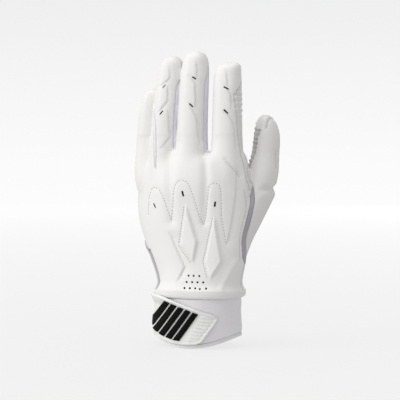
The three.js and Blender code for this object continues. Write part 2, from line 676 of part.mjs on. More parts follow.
function inset(outline, by) {
  const centre = [0, 1].map((axis) => outline.reduce((sum, p) => sum + p[axis], 0) / outline.length);
  const shrink = ([across, up]) => {
    const [dx, dy] = [across - centre[0], up - centre[1]];
    const length = Math.hypot(dx, dy);
    return [centre[0] + dx * (1 - by / length), centre[1] + dy * (1 - by / length)];
  };
  return outline.map(shrink);
}

const STRAP_MEET = 4; // the front and back of the strap meet this far behind the turned plane
const strapLow = strapGround(SEAM);
const strapTop = strapGround(SEAM + STRAP_THICK);
function strap() {
  const slab = strapTop.subtract(strapLow);
  const front = slab.intersect(prism(strapOutline, -STRAP_MEET));
  const back = slab.intersect(prism(onCuff(STRAP_BACK), -FAR, -STRAP_MEET / 2));
  const core = strapGround(SEAM + STRAP_THICK / 2);
  const rimLayer = strapGround(SEAM + STRAP_THICK + RIM_RISE).subtract(core);
  const rim = rimLayer.intersect(prism(strapOutline).subtract(prism(inset(strapOutline, STRAP_RIM), -1)));
  const ribLayer = strapGround(SEAM + STRAP_THICK + RIB_RISE).subtract(core);
  const ribs = [];
  const [left, right] = [-CUFF_WIDTH / 5, CUFF_WIDTH / 4];
  for (let up = CUFF_TOP / 8; up < (CUFF_TOP * 3) / 4; up += RIB_PITCH) {
    const high = up + RIB_RISING;
    ribs.push(prism([[left, high], [right, up], [right, up + RIB_WIDTH], [left, high + RIB_WIDTH]]));
  }
  const field = prism(onCuff(RIB_FIELD));
  const ribbed = ribLayer.intersect(ribs.reduce((a, b) => a.add(b)).intersect(field));
  return front.add(back).add(rim).add(ribbed);
}

// Raised bars on the strap, slanted alike, in a row from its free end round the little-finger side.
const BAR_FIRST = -4.6; // the right edge of the first bar, halfway up the strap
const BAR_PITCH = 7.2;
const BAR_WIDTH = 5.6;
const BAR_SLANT = 0.7; // across for each millimetre up
const BAR_MIDDLE = CUFF_TOP / 2 + 1; // the height of the middle of the bars
function strapBars() {
  const layer = strapGround(SEAM * 2 + STRAP_THICK + BAR_RISE).subtract(strapGround(SEAM * 2 + STRAP_THICK));
  const field = prism(inset(strapOutline, STRAP_RIM + 2 * SEAM), -STRAP_MEET / 2);
  const run = BAR_SLANT * BAR_MIDDLE;
  return Array.from({ length: BAR_COUNT }, (_, i) => {
    const right = BAR_FIRST - i * BAR_PITCH;
    const left = right - BAR_WIDTH;
    const top = 2 * BAR_MIDDLE;
    const outline = [[left - run, 0], [right - run, 0], [right + run, top], [left + run, top]];
    return prism(outline, -STRAP_MEET / 2).intersect(field).intersect(layer);
  });
}

const paint = (color, roughness) => new THREE.MeshStandardMaterial({ color, roughness, metalness: 0 });
const WHITE_LEATHER = paint("#ecebe8", 0.55);
const GREY_LEATHER = paint("#c9c8c5", 0.6);
const STRETCH = paint("#e8e6ee", 0.8);
const MESH = paint("#9a95a0", 0.85);
const NEOPRENE_CLOTH = paint("#dcdbdf", 0.85);
const WHITE_RUBBER = paint("#efefeb", 0.5);
const BLACK_RUBBER = paint("#24221f", 0.55);

const glove = new THREE.Group();
const thumb = thumbPieces();
glove.add(
  meshOf("back_panel", largest(backPanel()), WHITE_LEATHER),
  meshOf("palm_panel", largest(wall.intersect(hand.palm).subtract(handZone)), GREY_LEATHER),
  meshOf("fourchette_index_middle", largest(fourchette(MIDDLE, INDEX)), STRETCH),
  meshOf("fourchette_middle_ring", largest(fourchette(RING, MIDDLE)), STRETCH),
  meshOf("fourchette_ring_pinky", largest(fourchette(PINKY, RING)), STRETCH),
  meshOf("index_side_panel", indexSide(), GREY_LEATHER),
  meshOf("pinky_gusset", pinkyGusset(), STRETCH),
  meshOf("thumb_back", thumb.back, GREY_LEATHER),
  meshOf("thumb_palm", thumb.palm, GREY_LEATHER),
  meshOf("thumb_side_strip", thumb.strip, GREY_LEATHER),
  meshOf("thumb_gusset", largest(wall.intersect(hand.back).intersect(gussetZone)), MESH),
  meshOf("wrist_roll", wristRoll(), WHITE_LEATHER),
  meshOf("cuff", cuff(), NEOPRENE_CLOTH),
  meshOf("hem_binding", hemBinding(), WHITE_LEATHER),
  meshOf("strap", largest(strap()), WHITE_RUBBER),
);
strapBars().forEach((bar, i) => glove.add(meshOf("strap_bar_" + (i + 1), largest(bar), BLACK_RUBBER)));

export default glove;
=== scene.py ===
# %% [markdown]
# # A lineman's football glove
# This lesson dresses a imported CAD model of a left-hand lineman's glove. The glove is worn by no one but
# filled, with its fingers up. Its CAD nodes give the place and size of each panel, and each cell below
# makes one kind of panel or finish look like the real one. We work in millimetres and turn to Blender's
# metres at the very end of each piece, because the sizes of a glove are easier to judge that way.

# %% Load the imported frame
import math
from collections import namedtuple

import bmesh
import bpy
from mathutils import Matrix, Vector, noise
from mathutils.bvhtree import BVHTree


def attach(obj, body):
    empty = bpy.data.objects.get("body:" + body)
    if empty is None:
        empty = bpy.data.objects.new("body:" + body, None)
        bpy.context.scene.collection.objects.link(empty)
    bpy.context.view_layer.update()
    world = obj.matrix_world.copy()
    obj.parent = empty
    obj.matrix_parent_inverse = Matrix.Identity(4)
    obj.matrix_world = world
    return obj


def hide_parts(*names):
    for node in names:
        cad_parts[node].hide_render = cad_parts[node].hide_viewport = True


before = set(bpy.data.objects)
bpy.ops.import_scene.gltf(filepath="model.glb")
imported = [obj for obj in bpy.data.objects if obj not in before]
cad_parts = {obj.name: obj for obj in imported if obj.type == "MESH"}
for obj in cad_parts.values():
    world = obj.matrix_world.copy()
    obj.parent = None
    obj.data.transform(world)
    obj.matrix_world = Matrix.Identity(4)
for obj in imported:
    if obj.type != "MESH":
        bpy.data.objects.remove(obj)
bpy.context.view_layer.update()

MM = 0.001

# %% [markdown]
# ## Camera
# The photograph was taken almost level with the glove, from a little to the thumb side. A long lens about
# a metre away keeps the fingers and the cuff in proportion, so the camera comes first and the features of
# the back can be placed by where it sees them.

# %% Camera
TURN = math.radians(20)
RISE = math.radians(2)
DISTANCE = 1100.0
MM_PER_PIXEL = 0.83
IMAGE_PIXELS = 400
SENSOR = 36.0
TARGET = Vector((2.0, 0.7, 120.0))
TOWARDS = Vector((math.sin(TURN) * math.cos(RISE), -math.cos(TURN) * math.cos(RISE), math.sin(RISE)))

camera = bpy.data.objects.new("camera", bpy.data.cameras.new("camera"))
bpy.context.collection.objects.link(camera)
camera.data.sensor_width = SENSOR
camera.data.lens = SENSOR * DISTANCE / (IMAGE_PIXELS * MM_PER_PIXEL)
camera.location = (TARGET + TOWARDS * DISTANCE) * MM
camera.rotation_mode = "QUATERNION"
camera.rotation_quaternion = (-TOWARDS).to_track_quat("-Z", "Y")
camera.data.clip_start = 0.05
camera.data.clip_end = 60
bpy.context.scene.camera = camera
print("camera lens in mm:", round(camera.data.lens, 1))

# %% [markdown]
# ## Small tools
# Every piece starts as a bmesh. Rings of points become skins by bridging one ring to the next, which is
# how a loft is made with bmesh operators. `finish` moves a piece to metres, gives it its finish and hides
# the CAD nodes that it stands for.


# %% Helpers for numbers
def mix(a, b, share):
    return a + (b - a) * share


def clamp(value, low=0.0, high=1.0):
    return min(max(value, low), high)


def ease(value):
    """A smooth step from 0 to 1."""
    value = clamp(value)
    return value * value * (3 - 2 * value)


def hump(gap, width):
    """A smooth hump: 1 where the gap is 0, and soon 0 where the gap is more than the width."""
    return math.exp(-((gap / width) ** 2))


def bulge(angle, power):
    """A point of a superellipse of size 1: power 2 is an ellipse, and more is squarer."""
    c, s = math.cos(angle), math.sin(angle)
    return math.copysign(abs(c) ** (2 / power), c), math.copysign(abs(s) ** (2 / power), s)


def row_at(rows, at):
    """The columns of a table at a share of the way, on a smooth curve through its rows."""
    k = int(clamp(sum(row[0] <= at for row in rows), 1, len(rows) - 1))
    low, high = rows[k - 1], rows[k]
    before, after = rows[max(k - 2, 0)], rows[min(k + 1, len(rows) - 1)]
    span = high[0] - low[0]
    t = clamp((at - low[0]) / span)
    result = []
    for column in range(1, len(low)):
        a, b = low[column], high[column]
        slope_a = span * (b - before[column]) / (high[0] - before[0])
        slope_b = span * (after[column] - a) / (after[0] - low[0])
        leave, arrive = ((t - 2) * t + 1) * t * slope_a, (t - 1) * t * t * slope_b
        result.append((2 * t - 3) * t * t * (a - b) + a + leave + arrive)
    return result


# %% Helpers for pieces
SHARP = math.radians(55)


def ring_of(bm, points):
    """A closed ring of edges through the points."""
    verts = bmesh.ops.create_circle(bm, segments=len(points), radius=1)["verts"]
    for vert, point in zip(verts, points):
        vert.co = point
    return list({edge for vert in verts for edge in vert.link_edges})


def loft(bm, rings, closed=False):
    """Bridges each ring to the next, and closes the ends with a face or the last ring to the first."""
    loops = [ring_of(bm, ring) for ring in rings]
    for low, high in zip(loops, loops[1:]):
        bmesh.ops.bridge_loops(bm, edges=low + high)
    if closed:
        bmesh.ops.bridge_loops(bm, edges=loops[-1] + loops[0])
    else:
        for loop in (loops[0], loops[-1]):
            bmesh.ops.edgeloop_fill(bm, edges=loop)


def link(bm, name):
    mesh = bpy.data.meshes.new(name)
    bm.to_mesh(mesh)
    bm.free()
    obj = bpy.data.objects.new(name, mesh)
    bpy.context.collection.objects.link(obj)
    return obj


def with_modifiers(bm, *steps):
    """The bmesh after a stack of modifiers, each given as its type and its settings."""
    obj = link(bm, "work")
    for kind, settings in steps:
        modifier = obj.modifiers.new(kind.lower(), kind)
        for key, value in settings.items():
            setattr(modifier, key, value)
    result = bmesh.new()
    result.from_mesh(obj.evaluated_get(bpy.context.evaluated_depsgraph_get()).to_mesh())
    bpy.data.objects.remove(obj)
    return result


def finish(bm, name, slot, material, nodes=()):
    """A finished piece: in metres, smooth, riding on the glove, and standing for its CAD nodes."""
    bmesh.ops.scale(bm, vec=(MM, MM, MM), verts=bm.verts)
    for face in bm.faces:
        face.smooth = True
    for edge in bm.edges:
        edge.smooth = edge.calc_face_angle(0) < SHARP
    obj = link(bm, name)
    obj.data.materials.append(material)
    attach(obj, "root")
    if nodes:
        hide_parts(*nodes)
    print(name, "has", len(obj.data.polygons), "faces")
    return obj


# %% [markdown]
# ## Materials
# The glove is white on white, so its finishes differ by grain and gloss more than by colour: moulded
# synthetic leather on the back, thinner printed leather on the palm and thumb, brushed stretch knit
# between the fingers, open mesh beside the thumb, jersey-faced neoprene on the cuff, woven tape at the
# hem and moulded rubber on the strap. Colours are hex values of sRGB that one function turns to linear.

# %% Helpers for materials
# Clouds of tone in mm, and the finer fuzz in grains; then the strength of the relief and the play of the gloss
CLOUD = 28.0
FUZZ = 2.5
RELIEF_STRENGTH = 0.55
GLOSS_PLAY = 0.07


def linear(hex_colour):
    channels = [int(hex_colour[i : i + 2], 16) / 255 for i in (1, 3, 5)]
    return tuple(c / 12.92 if c <= 0.04045 else ((c + 0.055) / 1.055) ** 2.4 for c in channels) + (1.0,)


def add(tree, kind, inputs=(), **settings):
    """One node with its settings, its values and its links."""
    node = tree.nodes.new(kind)
    for key, value in settings.items():
        setattr(node, key, value)
    for key, value in dict(inputs).items():
        if isinstance(value, bpy.types.NodeSocket):
            tree.links.new(value, node.inputs[key])
        else:
            node.inputs[key].default_value = value
    return node


def per_metre(millimetres):
    """The scale of a texture whose cells are this wide."""
    return 1000.0 / millimetres


def glove_finish(
    name, light, dark, grain, relief, rough, weave=None, seam="#8f8c8c", sheen=0.0, specular=0.5
):
    """Two tones in large soft clouds, a grain or a weave with its relief in mm, and painted shade along sewn
    edges.
    """
    material = bpy.data.materials.new(name)
    material.use_nodes = True
    tree = material.node_tree
    tree.nodes.clear()
    place = add(tree, "ShaderNodeTexCoord").outputs["Object"]
    clouds = add(tree, "ShaderNodeTexNoise", {"Vector": place, "Scale": per_metre(CLOUD), "Detail": 3.0})
    # The colours of a Mix node are its inputs 6 and 7 and its output 2
    shades = {"Factor": clouds.outputs["Fac"], 6: linear(dark), 7: linear(light)}
    tones = add(tree, "ShaderNodeMix", shades, data_type="RGBA")
    # Painted shade: the attribute seam darkens the colour towards the seam colour along seams, in grooves and
    # between gathers
    sewn = add(tree, "ShaderNodeAttribute", attribute_name="seam")
    shades = {"Factor": sewn.outputs["Fac"], 6: tones.outputs[2], 7: linear(seam)}
    with_painted_shade = add(tree, "ShaderNodeMix", shades, data_type="RGBA")
    if weave is None:
        cells = {"Vector": place, "Scale": per_metre(grain)}
        height = add(tree, "ShaderNodeTexVoronoi", cells, feature="SMOOTH_F1").outputs["Distance"]
    else:
        # A wave texture of scale 1 turns through 20 radians in a metre, so these bands are about six
        # times as wide as the real spacing of the threads, which would be too fine to show
        bands = {"Vector": place, "Scale": per_metre(weave) / 20, "Distortion": 0.6, "Detail Scale": 4.0}
        warp, weft = [
            add(tree, "ShaderNodeTexWave", bands, bands_direction=way, wave_profile="SIN").outputs["Fac"]
            for way in ("DIAGONAL", "Z")
        ]
        height = add(tree, "ShaderNodeMath", {0: warp, 1: weft}, operation="MULTIPLY").outputs["Value"]
    fuzz = add(tree, "ShaderNodeTexNoise", {"Vector": place, "Scale": per_metre(grain * FUZZ), "Detail": 5.0})
    both = add(tree, "ShaderNodeMath", {0: height, 1: fuzz.outputs["Fac"]}, operation="ADD")
    pressed = {"Height": both.outputs["Value"], "Strength": RELIEF_STRENGTH, "Distance": relief * MM}
    bump = add(tree, "ShaderNodeBump", pressed)
    gloss = {"Value": fuzz.outputs["Fac"], "To Min": rough - GLOSS_PLAY, "To Max": rough + GLOSS_PLAY}
    look = {
        "Base Color": with_painted_shade.outputs[2],
        "Roughness": add(tree, "ShaderNodeMapRange", gloss).outputs["Result"],
        "Normal": bump.outputs["Normal"],
        "Sheen Weight": sheen,
        "Specular IOR Level": specular,
    }
    shader = add(tree, "ShaderNodeBsdfPrincipled", look)
    add(tree, "ShaderNodeOutputMaterial", {"Surface": shader.outputs["BSDF"]})
    return material


# %% The finishes
# The numbers are the width of the grain and its relief in mm, and the roughness. Grains are drawn up to
# twice as wide as the real ones, so that they show.
# Synthetic leather pressed in a mould: a fine pebble and a soft gloss that draws the edges of the pads
back_leather = glove_finish("moulded_synthetic_leather", "#eeedeb", "#e8e7e4", 0.7, 0.05, 0.5)
# Printed grip leather: a wider grain with a low and slightly tacky shine
palm_leather = glove_finish("printed_grip_leather", "#eae8e6", "#e0dedc", 1.1, 0.08, 0.45)
# The same leather drawn up by its seams: duller, with tones darkened by painted shade, and painted shade in
# the valleys between the gathers
shaded_gathered_leather = glove_finish("shaded_gathered_leather", "#d3d1cf", "#c2c0be", 0.9, 0.12, 0.55, seam="#6f6c6b")
# Brushed polyester and elastane knit: no gloss, a cool tint and a pale bloom along its outline
stretch_knit = glove_finish(
    "brushed_stretch_knit", "#edebf1", "#e4e2ea", 0.5, 0.05, 0.85, weave=0.9, sheen=0.3
)
# Warp-knitted spacer mesh: mauve grey, its own tone with painted shade of the open cells that the eye looks
# into
gusset_mesh = glove_finish(
    "open_spacer_mesh", "#bcb8c1", "#a29ea8", 0.5, 0.14, 0.85, weave=1.2, seam="#77727d"
)
# Neoprene laminated with jersey: an even, dull cloth
neoprene = glove_finish("jersey_neoprene", "#eeecef", "#e8e6e9", 0.5, 0.03, 0.85, weave=0.8, sheen=0.25)
# Woven polyester tape: flat and a little crisper than the cuff
hem_tape = glove_finish("woven_hem_tape", "#ecebec", "#e3e1e3", 0.4, 0.03, 0.7, weave=0.7)
# Injection-moulded rubber: nearly plain, with a broad soft highlight on its rim and ribs
strap_rubber = glove_finish("moulded_white_rubber", "#f1f1ee", "#ecece8", 0.6, 0.02, 0.42)
# Bonded white nylon thread: painted a shade darker than the leather, because each stitch lies in its own
# shadow
white_thread = glove_finish("bonded_white_thread", "#c4c1bd", "#b6b3af", 0.3, 0.02, 0.6)
black_thread = glove_finish("bonded_black_thread", "#161413", "#0f0e0d", 0.3, 0.02, 0.7, specular=0.1)
# Painted shade inside the glove: almost black, because little light falls into the holes in front of it
painted_vent_shade = glove_finish("painted_shade_sheet", "#121110", "#0c0b0b", 0.6, 0.05, 0.9, specular=0.1)
# Black moulded rubber: matt, so that the bars stay black in the strong light from the left
bar_rubber = glove_finish("moulded_black_rubber", "#0d0c0b", "#090808", 0.6, 0.03, 0.65, specular=0.08)
print("finishes:", [m.name for m in bpy.data.materials])

# %% [markdown]
# ## The skin of the glove
# A filled glove is one continuous skin before it is cut into panels. The palm, the fingers and the thumb
# are lofted from short tables of sections, joined by a voxel remesh as clay would be, and then smoothed.
# The sections are the ones that the CAD solids were drawn from, so every panel lands where its node is.

# %% Sizes of the hand, in mm
LEATHER = 1.7
SEAM = 0.3
HAND_BOTTOM = 46.6
HAND_LENGTH = 108.0
HAND_WIDTH = 101.0
HAND_DEPTH = 35.0
WRIST_WIDTH = 71.0
WRIST_DEPTH = 53.0
KNUCKLE_UP = 86.0
ARCH = 11.5
CURL = 6.0
KNUCKLE_Z = HAND_BOTTOM + KNUCKLE_UP
HAND_TOP = HAND_BOTTOM + HAND_LENGTH
Finger = namedtuple("Finger", "x length width depth lean")
INDEX = Finger(25.8, 100.5, 24.3, 21.5, -0.8)
MIDDLE = Finger(-4.4, 110.5, 24.4, 21.5, 2.2)
RING = Finger(-29.8, 107.0, 23.0, 20.5, 6.0)
PINKY = Finger(-47.6, 80.5, 20.5, 19.5, 3.4)
FINGERS = (INDEX, MIDDLE, RING, PINKY)
# at, growth in width, growth in depth, place across, fall towards the little finger
HAND_SECTIONS = [
    (0, 0, 0, 0.012, 0),
    (0.1, 0.13, 0.3, 0.006, 0),
    (0.2, 0.36, 0.55, -0.004, 0),
    (0.37, 0.65, 0.8, -0.028, 0),
    (0.52, 0.9, 0.92, -0.05, 0),
    (0.66, 1.03, 0.97, -0.061, 0.02),
    (0.8, 1.04, 1, -0.062, 0.05),
    (0.9, 0.97, 1.22, -0.07, 0.08),
    (0.97, 0.88, 1.45, -0.075, 0.1),
    (1, 0.76, 1.7, -0.075, 0.1),
]
# The tip of the index finger keeps its width on the thumb's side, and the little finger's tip slopes
INDEX_CORNER = 0.9
PINKY_TAPER = 0.35
# at, width, depth
FINGER_SECTIONS = [
    (-0.14, 0.6, 0.8),
    (0, 0.92, 1.3),
    (0.12, 1.1, 1.28),
    (0.24, 1.08, 1.15),
    (0.4, 1.01, 1.05),
    (0.78, 0.95, 0.95),
    (0.88, 0.9, 0.88),
    (0.95, 0.76, 0.74),
    (0.985, 0.52, 0.5),
    (1, 0.22, 0.22),
]
THUMB_BOTTOM = HAND_BOTTOM + 12
THUMB_LENGTH = 132.0
THUMB_WIDTH = 22.0
THUMB_DEPTH = 21.0
BALL_WIDTH = 35.0
THUMB_OUT = 53.0
THUMB_FORWARD = 24.0
# at, place outwards, place forwards, growth to the ball, narrowing at the tip
THUMB_SECTIONS = [
    (0, 0.34, 0.25, 0.85, 1),
    (0.13, 0.42, 0.36, 1, 1),
    (0.22, 0.5, 0.44, 1, 1),
    (0.3, 0.6, 0.51, 0.98, 1),
    (0.38, 0.7, 0.58, 0.93, 1),
    (0.46, 0.8, 0.66, 0.84, 1),
    (0.54, 0.87, 0.73, 0.64, 1),
    (0.64, 0.94, 0.81, 0.4, 1),
    (0.75, 0.985, 0.89, 0.06, 1),
    (0.86, 1, 0.96, 0, 0.97),
    (0.93, 0.99, 0.99, 0, 0.82),
    (0.98, 0.975, 1, 0, 0.52),
    (1, 0.97, 1, 0, 0.18),
]

# %% Rings of the hand, the fingers and the thumb
HAND_SIDES, FINGER_SIDES, THUMB_SIDES = 72, 32, 36
HAND_POWER = 2.4
FINGER_POWER = 2.25
ARCH_END = 1.3
ARCH_THUMB_SIDE = 0.35
ARCH_DROP = 2
CORNER_FROM = 0.5
CORNER_END = 1.04
CORNER_REACH = 0.06
TAPER_FROM = 0.72
WRIST_SLIM = 2.2
SLIM_ACROSS = 26
SLIM_TOP = 108.0
SLIM_HEIGHT = 50


def middle(x, z):
    """The middle surface of the hand: arched across the knuckles, the fingers curling to the palm's side."""
    grown = clamp((z - HAND_BOTTOM) / KNUCKLE_UP)
    across = (x - MIDDLE.x) / (PINKY.x - MIDDLE.x)
    arch = ARCH * min(across, ARCH_END) ** 2 * (1 if across > 0 else ARCH_THUMB_SIDE) - ARCH_DROP
    return grown * arch + CURL * max(0.0, (z - KNUCKLE_Z) / MIDDLE.length) ** 2


def around(sides):
    return [(k + 0.5) / sides * 2 * math.pi for k in range(sides)]


def hand_ring(at):
    wide, thin, across, fall = row_at(HAND_SECTIONS, at)
    half_wide = mix(WRIST_WIDTH, HAND_WIDTH, wide) / 2
    half_deep = mix(WRIST_DEPTH, HAND_DEPTH, thin) / 2
    z = HAND_BOTTOM + at * HAND_LENGTH
    ring = []
    for angle in around(HAND_SIDES):
        c, s = bulge(angle, HAND_POWER)
        x = across * HAND_WIDTH + half_wide * c
        ring.append((x, middle(x, z) + half_deep * s, z + fall * half_wide * c))
    return ring


def finger_x(finger, z):
    return finger.x + finger.lean * clamp((z - KNUCKLE_Z) / finger.length) ** 2


def finger_ring(finger, at):
    wide, deep = row_at(FINGER_SECTIONS, at)
    z = KNUCKLE_Z + at * finger.length
    x = finger_x(finger, z)
    points = [bulge(angle, FINGER_POWER) for angle in around(FINGER_SIDES)]
    left = right = wide
    if finger is INDEX and at > CORNER_FROM:
        right = max(wide, INDEX_CORNER * ease((CORNER_END - at) / CORNER_REACH))
    if finger is PINKY:
        left = wide * (1 - PINKY_TAPER * ease((at - TAPER_FROM) / (1 - TAPER_FROM)))
    half_wide, half_deep, y = finger.width / 2, finger.depth / 2 * deep, middle(x, z)
    return [(x + half_wide * (right if c > 0 else left) * c, y + half_deep * s, z) for c, s in points]


def thumb_ring(at):
    out, forward, ball, end = row_at(THUMB_SECTIONS, at)
    half_wide = mix(THUMB_WIDTH, BALL_WIDTH, ball) / 2 * end
    half_deep = mix(THUMB_DEPTH, BALL_WIDTH, ball) / 2 * end
    z = THUMB_BOTTOM + at * THUMB_LENGTH
    points = [bulge(angle, 2) for angle in around(THUMB_SIDES)]
    return [(out * THUMB_OUT + half_wide * c, forward * THUMB_FORWARD + half_deep * s, z) for c, s in points]


def slimmed(co):
    """How far the little-finger side of the wrist is drawn in towards the fold."""
    return WRIST_SLIM * ease(-co.x / SLIM_ACROSS) * ease((SLIM_TOP - co.z) / SLIM_HEIGHT)


# %% One closed skin
VOXEL = 0.85
FOLD_TOP = HAND_BOTTOM - SEAM
FOLD_GAP = 0.05
FOOT_DROP = 6
HAND_STEPS = 40
FINGER_STEPS = 50
THUMB_STEPS = 60
WEBS = [(RING, 163.5), (INDEX, 160.5)]
WEB_SIZE = (7.5, 11.0, 15.0)
WEB_BACK = 1
SMOOTHED_AWAY = 0.35
FOLD_FLARE = 3.0
FLARE_HEIGHT = 7.0
skin = bmesh.new()
foot = [(x, y, z - FOOT_DROP) for x, y, z in hand_ring(0)]
loft(skin, [foot] + [hand_ring(k / HAND_STEPS) for k in range(HAND_STEPS + 1)])
finger_root = FINGER_SECTIONS[0][0]
for finger in FINGERS:
    loft(skin, [finger_ring(finger, mix(finger_root, 1, k / FINGER_STEPS)) for k in range(FINGER_STEPS + 1)])
loft(skin, [thumb_ring(k / THUMB_STEPS) for k in range(THUMB_STEPS + 1)])
for finger, top in WEBS:
    x = (finger_x(finger, top) + finger_x(MIDDLE, top)) / 2
    place = Matrix.Translation((x, middle(x, top) - WEB_BACK, top - WEB_SIZE[2]))
    web = place @ Matrix.Diagonal((*WEB_SIZE, 1))
    bmesh.ops.create_uvsphere(skin, u_segments=24, v_segments=16, radius=1, matrix=web)
bmesh.ops.recalc_face_normals(skin, faces=skin.faces)
skin = with_modifiers(
    skin,
    ("REMESH", {"mode": "VOXEL", "voxel_size": VOXEL}),
    ("SMOOTH", {"factor": 0.5, "iterations": 8}),
)
skin.normal_update()
for vert in skin.verts:
    flare = FOLD_FLARE * clamp(1 - (vert.co.z - HAND_BOTTOM) / FLARE_HEIGHT) ** 2
    vert.co += vert.normal * (SMOOTHED_AWAY + flare)
    vert.co.x += slimmed(vert.co)
print("skin:", len(skin.verts), "vertices")

# %% Softer knuckles
# Leather bridges the step where the back of the hand meets the fingers, so that zone is smoothed further.
SOFTENING = 100
SOFT_MIDDLE = 4
SOFT_HALF = 24
SOFT_DEPTH = 7
SOFT_FACING = 0.2
soft = [
    v
    for v in skin.verts
    if abs(v.co.z - HAND_TOP + SOFT_MIDDLE) < SOFT_HALF
    and v.normal.dot(TOWARDS) > SOFT_FACING
    and v.co.y < middle(v.co.x, v.co.z) - SOFT_DEPTH
]
for _ in range(SOFTENING):
    bmesh.ops.smooth_vert(skin, verts=soft, factor=0.5, use_axis_x=True, use_axis_y=True, use_axis_z=True)
bmesh.ops.bisect_plane(
    skin,
    geom=skin.verts[:] + skin.edges[:] + skin.faces[:],
    plane_co=(0, 0, FOLD_TOP + FOLD_GAP),
    plane_no=(0, 0, 1),
    clear_inner=True,
)
bmesh.ops.triangulate(skin, faces=skin.faces)
print("softened vertices:", len(soft))

# %% [markdown]
# ## Panels
# A sewn glove is cut from flat panels, and its seams run in long even curves. Each seam is a field that is
# zero on the seam. The skin is split exactly where a field changes sign, which gives a clean line through
# the triangles however they lie, and each face then belongs to one panel.

# %% Seam lines
FOURCHETTE = 10.0
INDEX_SIDE = 9.3
INDEX_SIDE_LOW = 5.5
INDEX_SIDE_RISE = 50.0
PINKY_SEAM = 4.0
PINKY_WEDGE = 48.0
PINKY_WEDGE_FRONT = 18.0
PINKY_WEDGE_TOP = 9.5
PINKY_POINT = 3
GATHER_WIDTH = 11.5
GATHER_UP = 76.0
GATHER_BACK = 0.82
GUSSET_WIDTH = 3.7
GUSSET_END = 10
GUSSET_BLUNT = 0.2
STRIP_TAPER = 12.0
CROTCH_DROP = 6.0
TIP_SEAM = 14.0
# Up from the wrist fold, and across on the plane that faces the camera
THUMB_SEAM = [
    (20.0, 40.3),
    (31.0, 40.6),
    (40.0, 40.2),
    (47.5, 41.3),
    (55.0, 43.4),
    (64.5, 45.6),
    (73.5, 46.9),
    (85.0, 45.6),
    (93.5, 41.8),
    (98.0, 41.2),
    (112.0, 43.5),
]
GUSSET_TOP = 85.0
CREASE = [(99.0, -35.0), (148.0, -36.2)]
CREASE_HALF = 1.1
CREASE_END = 12
# A field's value where its seam is too far off to be worked out
ELSEWHERE = -2.0
ACROSS = Vector((math.cos(TURN), math.sin(TURN), 0))
OUTWARDS = Vector((math.sin(TURN), -math.cos(TURN), 0))


def across_of(co):
    return co.dot(ACROSS)


def nearness(co):
    """How far a point stands out of the turned plane towards the camera."""
    return co.dot(OUTWARDS)


def swell(z, low, high):
    return clamp(min((z - low) / STRIP_TAPER, (high - z) / STRIP_TAPER))


def tip_of(finger):
    return KNUCKLE_Z + finger.length


def strip_reach(x, z):
    """How far the strip between back and palm reaches to either side of the middle surface."""
    low = HAND_TOP - CROTCH_DROP - STRIP_TAPER
    below = z < low - STRIP_TAPER
    if x > (MIDDLE.x if below else INDEX.x):
        full = swell(z, low - STRIP_TAPER, tip_of(INDEX) - TIP_SEAM)
        side = mix(INDEX_SIDE_LOW, INDEX_SIDE, clamp((z - HAND_TOP) / INDEX_SIDE_RISE))
        return -side * full, FOURCHETTE / 2 * full
    if x < (MIDDLE.x if below else PINKY.x):
        up = (z - HAND_BOTTOM) / PINKY_WEDGE
        front = mix(PINKY_WEDGE_FRONT, PINKY_WEDGE_TOP, clamp(up))
        return mix(PINKY_SEAM, -front, clamp((1 - up) * PINKY_POINT)), PINKY_SEAM
    shorter = max((f for f in FINGERS if f.x <= x), key=lambda f: f.x)
    full = swell(z, low, tip_of(shorter) - TIP_SEAM)
    return -FOURCHETTE / 2 * full, FOURCHETTE / 2 * full


def back_seam(co):
    return co.y - middle(co.x, co.z) - strip_reach(co.x, co.z)[0]


def palm_seam(co):
    return co.y - middle(co.x, co.z) - strip_reach(co.x, co.z)[1]


def thumb_seam(co):
    up = co.z - HAND_BOTTOM
    return min(across_of(co) - row_at(THUMB_SEAM, up)[0], up - THUMB_SEAM[0][0])


def gusset_seam(co):
    up = co.z - HAND_BOTTOM
    ends = min(up - THUMB_SEAM[0][0], GUSSET_TOP - up)
    if ends < ELSEWHERE or nearness(co) < 0:
        return ELSEWHERE
    edge = row_at(THUMB_SEAM, up)[0]
    width = GUSSET_WIDTH * clamp(ends / GUSSET_END + GUSSET_BLUNT)
    return min(edge - across_of(co), across_of(co) - edge + width, ends)


def crease_seam(co):
    """The strip of knit in the crease between ring and little finger, where the two touch."""
    (low, line_low), (high, line_high) = CREASE
    up = co.z - HAND_BOTTOM
    line = mix(line_low, line_high, clamp((up - low) / (high - low)))
    ends = min(up - low, high - up)
    if ends < ELSEWHERE or co.y > middle(co.x, co.z):
        return ELSEWHERE
    return min(CREASE_HALF * clamp(ends / CREASE_END) - abs(across_of(co) - line), ends)


def thumb_centre(z):
    """The middle of the thumb at a height."""
    out, forward = row_at(THUMB_SECTIONS, (z - THUMB_BOTTOM) / THUMB_LENGTH)[:2]
    return out * THUMB_OUT, forward * THUMB_FORWARD


def gather_seams(co):
    """The seams of the gathered strip with the back and with the palm side of the thumb."""
    centre_x, centre_y = thumb_centre(co.z)
    full = clamp(swell(co.z, HAND_BOTTOM + GATHER_UP, THUMB_BOTTOM + THUMB_LENGTH - TIP_SEAM / 2) * 2)
    if co.x > centre_x:
        full = 0.0
    y = co.y - centre_y
    return y + GATHER_BACK * GATHER_WIDTH * full, y - (1 - GATHER_BACK) * GATHER_WIDTH * full


# %% Cut the skin along its seams
# A crossing this near to a vertex, as a share of the edge, moves the vertex on to the seam
SNAP = 0.2
THUMB_MARGIN = 1.5


